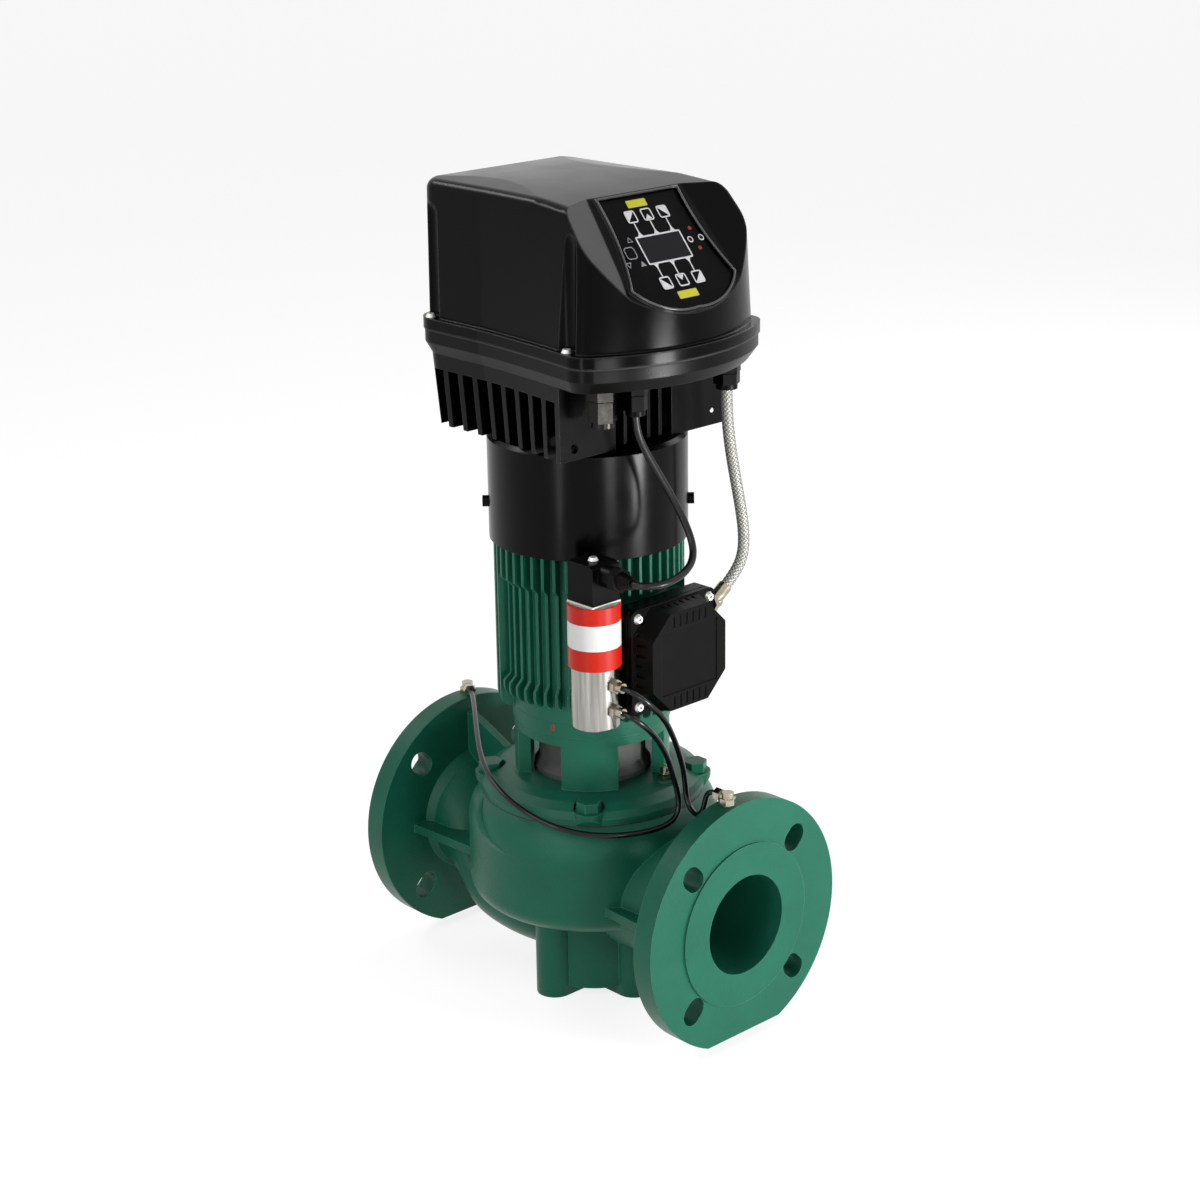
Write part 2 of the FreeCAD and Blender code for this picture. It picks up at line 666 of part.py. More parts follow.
def upper_end_shield():
    """Upper motor cover with the seat of the upper bearing."""
    z = frame_z1
    seat = z - bearing_h + 2
    body = turned([(bearing_r + 0.05, seat - 0.0), (bearing_r + 6, seat), (bearing_r + 6, z - 4),
                   (frame_r - frame_wall - 0.1, z - 4), (frame_r - frame_wall - 0.1, z),
                   (frame_r + 2, z), (frame_r + 2, z + 6), (motor_shaft_r + 1.5, z + 6),
                   (motor_shaft_r + 1.5, z + 3.6), (bearing_r + 0.05, z + 3.6)])
    for x, y, _ in shield_screw_places():
        body = body.cut(cyl(small_screw_r + 0.3, 20, x, y, z - 5))
    return body


def preload_spring():
    return ring(bearing_r - 0.5, bearing_r - 6, 1.5, 0, 0, frame_z1 + 2)


def shield_screw_places():
    return [polar(frame_r - frame_wall / 2, 90 * i) for i in range(4)]


def shield_screws():
    """Four screws that hold the upper shield to the motor frame."""
    screws = []
    for x, y, _ in shield_screw_places():
        shank = cyl(small_screw_r - 0.05, 18, x, y, frame_z1 - 12)
        screws.append(shank.fuse(hexagon(7, 3.5, x, y, frame_z1 + 6)))
    return screws


def fan_cover():
    z0, z1 = fan_cover_z0, fan_cover_z1
    shell = turned([(fan_cover_r - fan_cover_wall, z0), (fan_cover_r, z0), (fan_cover_r, z1 - 3),
                    (fan_cover_r - 3, z1), (22, z1), (22, z1 - fan_cover_wall),
                    (fan_cover_r - fan_cover_wall - 2, z1 - fan_cover_wall),
                    (fan_cover_r - fan_cover_wall, z1 - 4)])
    slot = block(30, 66, -3, 3, z1 - 10, z1 + 1)
    shell = shell.cut(slot.multiFuse([spun(slot, 15 * i) for i in range(1, 24)]))
    for angle in (47, 227):
        x, y, _ = polar(fan_cover_r, angle)
        shell = shell.cut(cyl(2.6, 8, x * 0.95, y * 0.95, cover_screw_z, (x, y, 0)))
    return shell


def fan_cover_screws():
    screws = []
    for angle in (47, 227):
        ux, uy, _ = polar(1, angle)
        tab = block(fin_r - 18, fan_cover_r - fan_cover_wall - 0.2, -5, 5, frame_z1 + 6, cover_screw_z + 6)
        tab = tab.cut(block(fin_r - 19, fan_cover_r - 6, -6, 6, frame_z1 + 9, cover_screw_z + 7))
        tab = spun(tab, angle)
        x, y = ux * (fan_cover_r - 8), uy * (fan_cover_r - 8)
        shank = cyl(2.3, 9, x, y, cover_screw_z, (ux, uy, 0))
        head = cyl(4.5, 4.5, ux * fan_cover_r, uy * fan_cover_r, cover_screw_z, (ux, uy, 0))
        screws.append(tab.fuse(shank).fuse(head))
    return screws


def cooling_fan():
    """Radial-bladed fan on the top end of the shaft."""
    hub = ring(20, shaft_r + 0.1, 20, 0, 0, fan_z)
    disc = ring(fan_r, 18, 3, 0, 0, fan_z)
    blade = block(18, fan_r - 2, -1.5, 1.5, fan_z, fan_z + 26)
    return fused([hub, disc] + [spun(blade, 360 / fan_blades * i) for i in range(fan_blades)])


def heat_sink():
    """Base plate with fin plates across the fan's air stream, and the tray of the housing."""
    form = Part.makeLoft([plan_wire(sink_draft, sink_z0, lid_half_y + sink_draft - 1, lid_rear_half_y),
                          plan_wire(1, rim_z0 + 1, lid_half_y, lid_rear_half_y)], True, True)
    base = block(sink_x0, sink_x1, -lid_half_y, lid_half_y, rim_z0 - sink_base_t, rim_z0 + 1)
    pitch = (sink_x1 - sink_x0 - sink_fin_t) / (sink_fin_count - 1)
    plates = [block(sink_x0 + pitch * i, sink_x0 + pitch * i + sink_fin_t, -lid_half_y, lid_half_y,
                    sink_z0, rim_z0 - 2) for i in range(sink_fin_count)]
    fins = fused([base] + plates).common(form)
    window = block(sink_x1 - sink_plate_t - 1, sink_x1 + 1, -sink_gap_y, sink_gap_y, sink_z0 - 1,
                   rim_z0 - sink_base_t)
    ribs = [block(sink_x1 - pitch, sink_x1 - 1, y - 1.5, y + 1.5, sink_z0 + 2, rim_z0 - 2)
            for y in spread(4, sink_rib_pitch, 0.0)]
    hole = cyl(4, 2 * sink_plate_t, sink_x1 - 1.5 * sink_plate_t, -lid_half_y + 20, sink_z0 + 9, (1, 0, 0))
    rim_low = Part.makeLoft([plan_wire(rim_taper, rim_z0, lid_half_y, lid_rear_half_y),
                             plan_wire(1 - rim_proud, rim_z_low, lid_half_y, lid_rear_half_y)],
                            True, True)
    rim = plan_form(1 - rim_proud, rim_z_low, tray_z1)
    body = fused([fins.cut(window).cut(hole), rim_low, rim] + ribs)
    body = body.cut(plan_form(tray_t, rim_z0 + tray_t, tray_z1 + 1))
    for x, y in lid_screws_at:
        body = body.fuse(cyl(5, tray_z1 - rim_z_low, x, y, rim_z_low).common(rim))
        body = body.cut(cyl(small_screw_r, 8, x, y, tray_z1 - 8))
    for x, y in (blanking_at, sensor_gland_at, conduit_gland_at):
        body = body.cut(cyl(entry_r, tray_t + 2, x, y, rim_z0 - 1))
    return body


def plan_form(inset, z0, z1, front_half=lid_half_y, rear_half=lid_rear_half_y):
    """Plan of the housing, moved inwards by an inset, as a block: straight at the rear, flared
    towards the front corners, with a bowed front."""
    back, corner, front = lid_back_x + inset, lid_corner_x - inset, lid_front_x - inset
    rear, wide = rear_half - inset, front_half - inset
    mid_x, mid_y = (flare_x + corner) / 2, rear + (wide - rear) * flare_share
    form = outline_form([(back, -rear, z0), (flare_x, -rear, z0),
                         ((mid_x, -mid_y, z0), (corner, -wide, z0)),
                         ((front, 0, z0), (corner, wide, z0)), ((mid_x, mid_y, z0), (flare_x, rear, z0)),
                         (back, rear, z0)], (0, 0, z1 - z0))
    uprights = [edge for edge in form.Edges
                if abs(edge.Vertexes[0].Z - edge.Vertexes[-1].Z) > z1 - z0 - 0.01
                and not back + 1 < edge.Vertexes[0].X < corner - 1]
    return form.makeFillet(max(corner_r - inset, 4), uprights)


def plan_wire(inset, z, front_half, rear_half):
    """Outline of the housing's plan at a height."""
    form = plan_form(inset, z, z + 10, front_half, rear_half)
    return min(form.Faces, key=lambda face: face.CenterOfMass.z).OuterWire


def outline_face(nodes):
    """Face from an outline of points; a point given as a pair is reached by an arc."""
    edges = []
    here = V(*nodes[0])
    for node in nodes[1:] + [nodes[0]]:
        if isinstance(node[0], tuple):
            through, there = V(*node[0]), V(*node[1])
            edges.append(Part.Arc(here, through, there).toShape())
        else:
            there = V(*node)
            edges.append(Part.LineSegment(here, there).toShape())
        here = there
    return Part.Face(Part.Wire(edges))


def outline_form(nodes, push):
    return outline_face(nodes).extrude(V(*push))


def half_space(point, normal, inset):
    """Large block whose base lies on a plane moved inwards by an inset."""
    size = 600
    slab = Part.makeBox(size, size, size, V(-size / 2, -size / 2, 0))
    heading = V(*normal).normalize()
    slab.Placement = FreeCAD.Placement(V(*point) - heading * inset,
                                       FreeCAD.Rotation(V(0, 0, 1), heading)) * slab.Placement
    return slab


def display_cut(inset):
    """Wedge cut from the housing's front: the display slope between two side facets."""
    fall = math.radians(slope_angle)
    slope_top_x = panel_x - (roof_z - panel_z) / math.tan(fall)
    normal = (math.sin(fall), 0, math.cos(fall))
    wedge = half_space((panel_x, 0, panel_z), normal, inset)
    cx, cy, cz = facet_corner
    for side in (-1, 1):
        along = V(math.cos(fall), facet_splay * side, -math.sin(fall))
        across = V(cx - slope_top_x, side * (cy - facet_top_y), cz - roof_z)
        normal = across.cross(along) * side
        if normal.z < 0:
            normal = normal * -1
        start = (slope_top_x, side * facet_top_y, roof_z)
        wedge = wedge.common(half_space(start, tuple(normal), inset))
    return wedge


def lid_form(inset, z_low):
    """Form of the lid, moved inwards by an inset: walls that lean in towards the roof, cut by the
    side view and the roof's crown, rounded along the roof and cut by the display slope."""
    low = plan_wire(inset, z_low, lid_half_y, lid_rear_half_y)
    high = plan_wire(inset, roof_z + 20, lid_top_half_y, lid_top_rear_half_y)
    walls = Part.makeLoft([low, high], True, True)
    top = roof_z - inset
    back, far, wide = lid_back_x - 20, lid_front_x + 20, lid_half_y + 30
    side = outline_form([(back, -wide, z_low - 1), (back, -wide, top - 1),
                         ((-20, -wide, top + 2), (62 - inset, -wide, top - 3)),
                         ((84 - inset, -wide, top - 9), (100 - inset, -wide, top - 26)),
                         (far, -wide, top - 60), (far, -wide, z_low - 1)], (0, 2 * wide, 0))
    crown = outline_form([(back, -wide, z_low - 1), (back, -wide, top - 8),
                          ((back, 0, top + roof_crown), (back, wide, top - 8)), (back, wide, z_low - 1)],
                         (far - back, 0, 0))
    form = walls.common(side).common(crown)
    edges = [edge for edge in form.Edges
             if edge.BoundBox.ZMax > roof_z - 50 and edge.BoundBox.ZMin > roof_z - 90]
    form = form.makeFillet(roof_round - inset, edges)
    return form.cut(display_cut(inset))


def on_slope(y, s, lift=0.0):
    """Point on the display slope: y across, s up the slope from the display, lift off it."""
    run, rise = math.cos(math.radians(slope_angle)), math.sin(math.radians(slope_angle))
    return (panel_x - s * run + lift * rise, y, panel_z + s * rise + lift * run)


def slope_push(lift):
    """Vector of a given length that stands square on the slope."""
    return V(*on_slope(0, 0, lift)) - V(*on_slope(0, 0, 0))


def slope_block(y, s, half_y, half_s, low, high):
    """Block square to the slope, from one lift to another."""
    slab = Part.makeBox(2 * half_s, 2 * half_y, high - low, V(-half_s, -half_y, low))
    slab.rotate(V(0, 0, 0), V(0, 1, 0), slope_angle)
    slab.translate(V(*on_slope(y, s)))
    return slab


def overlay_face(grow, lift):
    """Shield-shaped outline of the display overlay, at a lift off the slope."""
    top, down, end = overlay_up + grow, overlay_down, overlay_bottom + grow
    wide, mid, low_wide = overlay_top_half + grow, overlay_mid_half + grow, overlay_low_half + grow
    bend_y, bend_s = low_wide * 0.72, -down - (end - down) * 0.62
    side_s = overlay_up - 39
    return outline_face([on_slope(wide, top, lift),
                         (on_slope(mid, side_s, lift), on_slope(low_wide, -down, lift)),
                         (on_slope(bend_y, bend_s, lift), on_slope(0, -end, lift)),
                         (on_slope(-bend_y, bend_s, lift), on_slope(-low_wide, -down, lift)),
                         (on_slope(-mid, side_s, lift), on_slope(-wide, top, lift))])


def overlay_outline(grow, low, high):
    """The overlay's outline as a block between two lifts."""
    return overlay_face(grow, low).extrude(slope_push(high - low))


def overlay_lip():
    """Raised border around the overlay, bevelled; it stays within the housing's plan."""
    form = Part.makeLoft([overlay_face(lip_w, -1).OuterWire, overlay_face(lip_w / 2, lip_h).OuterWire],
                         True, True)
    return form.common(plan_form(0.2, rim_z1, roof_z)).cut(overlay_outline(0.15, -overlay_t, 5))


def key_places():
    """Six keys in two rows and one beside the display."""
    places = [(key_pitch * i, row) for row in (key_row, -key_row) for i in (-1, 0, 1)]
    return places + [(side_key_y, 0)]


def light_places():
    """Four indicator lights to the right of the display."""
    inner, outer = display_half_y + 7, display_half_y + 18
    return [(inner, 2), (outer, 2), (inner + 5, 11), (inner + 5, -6)]


def control_panel():
    """Overlay with openings for the keys, the display window and the lights."""
    sheet = overlay_outline(0, -overlay_t, 0)
    for y, s in key_places():
        sheet = sheet.cut(slope_block(y, s, key_half + key_gap, key_half + key_gap, -9, 9))
    sheet = sheet.cut(slope_block(0, 0, display_half_y, display_half_s, -9, 9))
    for y, s in light_places():
        x0, y0, z0 = on_slope(y, s, -9)
        sheet = sheet.cut(cyl(light_r + light_gap, 18, x0, y0, z0, tuple(slope_push(1))))
    return sheet


def display_window():
    return slope_block(0, 0, display_half_y - 0.1, display_half_s - 0.1, -1.0, 0)


def indicator_lights():
    heading = tuple(slope_push(1))
    return [cyl(light_r, lid_wall + 0.3, *on_slope(y, s, -lid_wall), heading)
            for y, s in light_places()]


def key(index):
    y, s = key_places()[index]
    return slope_block(y, s, key_half, key_half, -(key_t - key_proud), key_proud)


def control_board():
    """Circuit board under the display, with the display module on it."""
    board = slope_block(0, 0, board_half_y, board_half_s, -lid_wall - board_t, -lid_wall)
    module = slope_block(0, 0, display_half_y + 2, display_half_s + 4, -lid_wall, -1.6)
    return board.fuse(module)


def inverter_lid():
    """Moulded lid: bowed front, sunk display slope, screw wells and a proud rim."""
    shell = lid_form(0, tray_z1 + lid_seal_t)
    rim = plan_form(-rim_proud, tray_z1 + lid_seal_t, rim_z1)
    body = shell.fuse(rim)
    wells = []
    for x, y in lid_screws_at:
        side = 1 if y > 0 else -1
        well = cyl(well_r, well_top - rim_z1, x, y + side * 4, rim_z1)
        wells.append(well.fuse(Part.makeSphere(well_r, V(x, y + side * 4, well_top))))
    hollow = lid_form(lid_wall, tray_z1)
    for x, y in lid_screws_at:
        side = 1 if y > 0 else -1
        post = cyl(well_r + lid_wall, 300, x, y + side * 4, tray_z1)
        hollow = hollow.cut(post.common(block(-200, 200, -200, 200, tray_z1, well_top + 6)))
    body = body.cut(hollow)
    body = body.cut(wells[0].multiFuse(wells[1:]))
    for x, y in lid_screws_at:
        body = body.cut(cyl(small_screw_r + 0.3, 30, x, y, tray_z1 - 1))
    body = body.cut(overlay_outline(0.15, -overlay_t, 5)).fuse(overlay_lip())
    window_half = key_row + key_half + 2
    body = body.cut(slope_block(0, 0, display_half_y + 10, window_half, -lid_wall - 12, 1))
    body = body.cut(slope_block(side_key_y, 0, key_half + 1, key_half + 1, -lid_wall - 1, 1))
    for y, s in light_places():
        body = body.cut(cyl(light_r + light_gap, 18, *on_slope(y, s, -9), tuple(slope_push(1))))
    return body


def lid_gasket():
    sheet = plan_form(-rim_proud + 1, tray_z1, tray_z1 + lid_seal_t).cut(
        plan_form(tray_t, tray_z1 - 1, tray_z1 + 2))
    for x, y in lid_screws_at:
        eye = cyl(5, lid_seal_t, x, y, tray_z1).common(plan_form(1 - rim_proud, tray_z1, rim_z1))
        sheet = sheet.fuse(eye).cut(cyl(small_screw_r + 0.3, 3, x, y, tray_z1 - 1))
    return sheet


def small_screw(x, y, z, heading, length):
    """Pan head screw whose head sits on a point and whose shank runs back along a heading."""
    to = V(*heading).normalize()
    root = V(x, y, z) - to * length
    shank = Part.makeCylinder(small_screw_r - 0.05, length, root, to)
    return shank.fuse(Part.makeCone(small_head_r, small_head_r - 1.2, 2.6, V(x, y, z), to))


def cover_screws():
    """Bright screws of the lid, the terminal box and the sensor connector."""
    screws = [small_screw(x, y, rim_z1, (0, 0, 1), 17) for x, y in lid_screws_at]
    for sy in (-1, 1):
        for sz in (-1, 1):
            screws.append(small_screw(box_x1 + 4, sy * box_screw_y, box_z + sz * box_screw_z,
                                      (1, 0, 0), 12))
    screws.append(small_screw(sensor_x, sensor_y, connector_z1, (0, 0, 1), 8))
    return screws


def terminal_box_base():
    shell = block(box_x0, box_x1 - 1, -box_half_y, box_half_y, box_z - box_half_z, box_z + box_half_z)
    shell = shell.makeFillet(6, [e for e in shell.Edges if abs(e.Vertexes[0].X - e.Vertexes[-1].X) > 1])
    inner = block(box_x0 + box_wall, box_x1, -box_half_y + 10, box_half_y - 10,
                  box_z - box_half_z + 10, box_z + box_half_z - 10)
    body = shell.cut(inner).cut(cyl(9, 10, box_x0 - 1, 0, box_z, (1, 0, 0)))
    for sy in (-1, 1):
        for sz in (-1, 1):
            body = body.cut(cyl(small_screw_r, 9, box_x1 - 9, sy * box_screw_y,
                                box_z + sz * box_screw_z, (1, 0, 0)))
    return body


def lid_section(x, half_y, half_z, corner):
    corners = []
    for sy, sz in ((-1, 1), (1, 1), (1, -1), (-1, -1)):
        first = (x, sy * (half_y - corner), box_z + sz * half_z)
        second = (x, sy * half_y, box_z + sz * (half_z - corner))
        corners += [first, second] if sy * sz > 0 else [second, first]
    return Part.makePolygon([V(*p) for p in corners] + [V(*corners[0])])


def terminal_box_lid():
    """Lid with a skirt, corner feet for its screws, and a raised eight-sided top."""
    skirt = block(box_x1, box_x1 + 4, -box_half_y, box_half_y, box_z - box_half_z, box_z + box_half_z)
    skirt = skirt.makeFillet(6, [e for e in skirt.Edges if abs(e.Vertexes[0].X - e.Vertexes[-1].X) > 1])
    outer = Part.makeLoft([lid_section(box_x1 + 3, box_half_y - 1, box_half_z - 1, box_face_corner - 2),
                           lid_section(box_face_x, box_face_half, box_face_half, box_face_corner)],
                          True, True)
    inner = Part.makeLoft([lid_section(box_x1 - 1, box_half_y - 4, box_half_z - 4, box_face_corner),
                           lid_section(box_face_x - box_wall, box_face_half - 3, box_face_half - 3,
                                       box_face_corner)], True, True)
    body = skirt.fuse(outer).cut(inner)
    for z in spread(7, 8.0, box_z):
        body = body.cut(block(box_x1 + 6, box_face_x - 4, -box_half_y - 2, -box_face_half - 1.4,
                              z - 1.5, z + 1.5))
    for y in spread(6, 6.6, 0.0):
        body = body.cut(block(box_x1 + 6, box_face_x - 4, y - 1.3, y + 1.3, box_z + box_face_half + 1.2,
                              box_z + box_half_z + 2))
        for side in (-1, 1):
            z = box_z + side * (box_panel_half_z + box_face_half) / 2
            body = body.cut(block(box_face_x - box_panel_depth, box_face_x + 1, y - 1.3, y + 1.3,
                                  z - 4.5, z + 4.5))
    body = body.cut(block(box_face_x - box_panel_depth, box_face_x + 1, -box_panel_half, box_panel_half,
                          box_z - box_panel_half_z, box_z + box_panel_half_z))
    for sy in (-1, 1):
        for sz in (-1, 1):
            body = body.cut(cyl(small_screw_r + 0.3, 20, box_x1 - 1, sy * box_screw_y,
                                box_z + sz * box_screw_z, (1, 0, 0)))
            body = body.cut(cyl(small_head_r + 1.5, 30, box_x1 + 4, sy * box_screw_y,
                                box_z + sz * box_screw_z, (1, 0, 0)))
    return body


def terminal_box_gasket():
    sheet = block(box_x1 - 1, box_x1, -box_half_y + 1.5, box_half_y - 1.5, box_z - box_half_z + 1.5,
                  box_z + box_half_z - 1.5)
    inner = block(box_x1 - 2, box_x1 + 1, -box_half_y + 10, box_half_y - 10,
                  box_z - box_half_z + 10, box_z + box_half_z - 10)
    sheet = sheet.cut(inner)
    for sy in (-1, 1):
        for sz in (-1, 1):
            sheet = sheet.cut(cyl(small_screw_r + 0.3, 3, box_x1 - 2, sy * box_screw_y,
                                  box_z + sz * box_screw_z, (1, 0, 0)))
    return sheet


def terminal_block():
    """Insulated block with six terminal studs."""
    floor = box_x0 + box_wall
    body = block(floor, floor + 9, 12, 32, box_z - 24, box_z + 24)
    studs = [cyl(2, 8, floor + 8, y, box_z + z, (1, 0, 0)) for y in (17, 27) for z in (-16, 0, 16)]
    return fused([body] + studs)


def sensor_body():
    body = cyl(sensor_r, sleeve_z1 - sensor_z0, sensor_x, sensor_y, sensor_z0)
    return body.makeFillet(1.5, [e for e in body.Edges if abs(e.Vertexes[0].Z - sensor_z0) < 0.1
                                 and len(e.Vertexes) == 1])


def sensor_sleeve():
    """Red moulded sleeve over the top of the sensor, with a shallow band for the label."""
    sleeve = ring(sleeve_r, sensor_r + 0.05, sleeve_z1 - sleeve_z0, sensor_x, sensor_y, sleeve_z0)
    band = ring(sleeve_r + 1, sleeve_r - 0.4, label_z1 - label_z0, sensor_x, sensor_y, label_z0)
    return sleeve.cut(band)


def sensor_label():
    return ring(sleeve_r - 0.1, sleeve_r - 0.4, label_z1 - label_z0 - 0.2, sensor_x, sensor_y,
                label_z0 + 0.1)


def connector_gasket():
    half = connector_half + 0.6
    return block(sensor_x - half, sensor_x + half, sensor_y - half, sensor_y + half, sleeve_z1,
                 sleeve_z1 + 1.5)


def din_connector():
    """Square plug on the sensor with a sloping top edge and a neck for the cable gland."""
    half = connector_half
    z0 = sleeve_z1 + 1.5
    body = prism([(sensor_x - half, sensor_y - half, z0), (sensor_x + half, sensor_y - half, z0),
                  (sensor_x + half, sensor_y - half, connector_z1 - 2),
                  (sensor_x + half - 4, sensor_y - half, connector_z1),
                  (sensor_x - half, sensor_y - half, connector_z1)], (0, 2 * half, 0))
    neck = cyl(8.5, 12, sensor_x + half - 2, sensor_y, connector_gland_z, (1, 0, 0))
    return body.fuse(neck).cut(cyl(small_screw_r, 9, sensor_x, sensor_y, connector_z1 - 9))


def connector_gland():
    x = sensor_x + connector_half + 10
    tip = sensor_cable_route[-1][0]
    nut = hexagon(17, 7, x, sensor_y, connector_gland_z, (1, 0, 0))
    dome = cone(7, 4.5, tip - x - 7, x + 7, sensor_y, connector_gland_z, (1, 0, 0))
    return nut.fuse(dome)


def sensor_bracket():
    """Saddle between the motor's fins and the sensor, on the fins' lower stretch."""
    angle = math.degrees(math.atan2(sensor_y, sensor_x))
    reach = math.hypot(sensor_x, sensor_y)
    saddle = spun(block(60, reach, -9, 9, fin_step_z0 + 8, fin_step_z0 + 34), angle)
    saddle = saddle.cut(cyl(fin_r - fin_step + 0.05, 400))
    return saddle.cut(cyl(sensor_r + 0.05, 400, sensor_x, sensor_y, 0))


def fitting_on(seat, tip):
    """Compression fitting between a seat and the end of a tube: hexagon, stem and nut."""
    run = tip - seat
    heading = tuple(run)
    body = hexagon(10, 4, seat.x, seat.y, seat.z, heading)
    return body.fuse(cyl(3.9, run.Length, seat.x, seat.y, seat.z, heading))


def port_fitting(route):
    """Fitting on the sensor's side, in line with the first run of a tube."""
    tip = V(*route[0])
    out = V(tip.x - sensor_x, tip.y - sensor_y, 0).normalize()
    seat = V(sensor_x, sensor_y, tip.z) + out * (sensor_r + 0.05)
    return fitting_on(seat, tip)


def tap_turn(route, place_x):
    """Point above a tapped hole, in line with the last run of the tube that leads to it."""
    end, before = V(*route[-1]), V(*route[-2])
    out = (end - before).normalize()
    return end + out * ((place_x - end.x) / out.x)


def tap_fitting(route, place_x):
    """Elbow fitting on top of a flange: an upright stem, and an arm that meets the tube."""
    end, turn = V(*route[-1]), tap_turn(route, place_x)
    base_z = port_height + math.sqrt(flange_r ** 2 - turn.y ** 2) - 4
    stem = cyl(tap_r - running_clearance, turn.z - base_z + 4.5, turn.x, turn.y, base_z)
    foot_nut = hexagon(11, 5, turn.x, turn.y, flange_top + running_clearance)
    arm = Part.makeCylinder(3.6, (turn - end).Length, end, turn - end)
    nut = hexagon(9, 6, end.x, end.y, end.z, tuple(turn - end))
    return fused([stem, foot_nut, arm, nut])


def tube_fittings():
    """Nickel fittings: two on the sensor's ports and one on top of each flange."""
    return [port_fitting(discharge_route), port_fitting(suction_route),
            tap_fitting(discharge_route, tap_x), tap_fitting(suction_route, -tap_x)]


def tap_holes():
    """Holes in the tops of the flanges for the two tap fittings."""
    turns = [tap_turn(discharge_route, tap_x), tap_turn(suction_route, -tap_x)]
    return [cyl(tap_r, 20, turn.x, turn.y, flange_top - 6) for turn in turns]


def vent_valve_body():
    """Vent valve screwed into its boss beside the lantern's windows."""
    x, y = vent_at
    z = vent_boss_z
    body = hexagon(12, 6, x, y, z).fuse(cyl(vent_thread_r - 0.05, 6, x, y, z - 6))
    return body.cut(cyl(vent_screw_r + running_clearance, 10, x, y, z - 3))


def vent_screw():
    """Slotted screw of the vent valve."""
    x, y = vent_at
    z = vent_boss_z + 6
    body = cyl(vent_screw_r, 6, x, y, z - 5).fuse(cyl(4.2, 4, x, y, z + 0.3))
    return body.cut(block(x - 5, x + 5, y - 0.6, y + 0.6, z + 3, z + 5))


def entry_gland(place, across, low_z, cord_r):
    """Cable gland hanging from the housing's floor; a cord ends inside its throat."""
    x, y = place
    collar = hexagon(across, 9, x, y, rim_z0 - 9)
    nut = hexagon(across - 1, rim_z0 - 13.5 - low_z, x, y, low_z + 4)
    throat = cyl(across / 2 - 1.2, 4, x, y, low_z)
    neck = cyl(across / 2 - 2.5, 2, x, y, rim_z0 - 10)
    thread = cyl(entry_r - 0.05, 8, x, y, rim_z0)
    body = fused([collar, neck, nut, throat, thread])
    return body if cord_r == 0 else body.cut(cyl(cord_r + 0.1, throat_depth, x, y, low_z))


def conduit_connector():
    """Brass adapter on the terminal box: a hexagon on its side, a knuckle and a nose in line
    with the conduit's last run."""
    end, before = V(*conduit_route[-1]), V(*conduit_route[-2])
    back = (end - before).normalize()
    base = hexagon(13, 4, end.x, box_half_y, conduit_box_z, (0, 1, 0))
    knuckle = Part.makeSphere(5.6, V(end.x, box_half_y + 6.5, conduit_box_z))
    nose = Part.makeCylinder(5.6, 14, end, back)
    return fused([base, knuckle, nose]).cut(block(0, 200, 0, box_half_y, 0, 600))


def main():
    os.makedirs("parts", exist_ok=True)
    nodes = {
        "volute_casing": volute_casing(), "lantern_bracket": lantern_bracket(),
        "casing_gasket": casing_gasket(), "casing_bolts": casing_bolts(),
        "seal_housing": seal_housing(), "seal_seat": seal_seat(), "pump_shaft": shaft(),
        "impeller": impeller(), "impeller_nut": impeller_nut(), "seal_ring": seal_ring(),
        "drive_end_shield": drive_end_shield(),
        "lower_bearing": bearing(lantern_ring_z + lantern_ring_h + bearing_seat),
        "motor_frame": motor_frame(), "stator_core": stator_core(),
        "stator_windings": stator_windings(), "rotor_core": rotor_core(),
        "upper_end_shield": upper_end_shield(),
        "upper_bearing": bearing(frame_z1 - bearing_h + 2), "preload_spring": preload_spring(),
        "shield_screws": shield_screws(), "fan_cover": fan_cover(),
        "fan_cover_screws": fan_cover_screws(), "cooling_fan": cooling_fan(),
        "heat_sink": heat_sink(), "inverter_lid": inverter_lid(), "lid_gasket": lid_gasket(),
        "cover_screws": cover_screws(), "control_panel": control_panel(),
        "display_window": display_window(), "indicator_lights": indicator_lights(),
        "control_board": control_board(),
        "blanking_gland": entry_gland(blanking_at, blanking_across, blanking_z0, 0),
        "sensor_cable_gland": entry_gland(sensor_gland_at, 17, sensor_cable_route[0][2] - throat_depth,
                                          sensor_cable_r),
        "conduit_gland": entry_gland(conduit_gland_at, 19, conduit_route[0][2] - throat_depth, conduit_r),
        "terminal_box_base": terminal_box_base(), "terminal_box_lid": terminal_box_lid(),
        "terminal_box_gasket": terminal_box_gasket(), "terminal_block": terminal_block(),
        "sensor_body": sensor_body(), "sensor_sleeve": sensor_sleeve(),
        "sensor_label": sensor_label(), "connector_gasket": connector_gasket(),
        "din_connector": din_connector(), "connector_gland": connector_gland(),
        "sensor_bracket": sensor_bracket(), "tube_fittings": tube_fittings(),
        "vent_valve_body": vent_valve_body(), "vent_screw": vent_screw(),
        "conduit_connector": conduit_connector(),
        "discharge_capillary": tube(discharge_route, capillary_r),
        "suction_capillary": tube(suction_route, capillary_r),
        "sensor_cable": tube(sensor_cable_route, sensor_cable_r),
        "motor_conduit": tube(conduit_route, conduit_r),
    }
    for index in range(len(key_places())):
        nodes["membrane_key_%d" % (index + 1)] = key(index)
    for name, shape in nodes.items():
        solid = Part.makeCompound(shape) if isinstance(shape, list) else shape
        if not solid.isValid() or not solid.Solids:
            print("INVALID", name)
        print(name, len(solid.Solids), "%.0f" % solid.Volume)
        solid.exportStep("parts/%s.step" % name)


main()
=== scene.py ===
"""Looks of an in-line circulation pump: cast volute, finned motor, speed controller with a
display, pressure sensor with its tubes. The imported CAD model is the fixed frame; +Z is up
along the shaft and +X points out of the discharge port. Routes and sizes are written in
millimetres and turned to metres once, by MM."""

import math

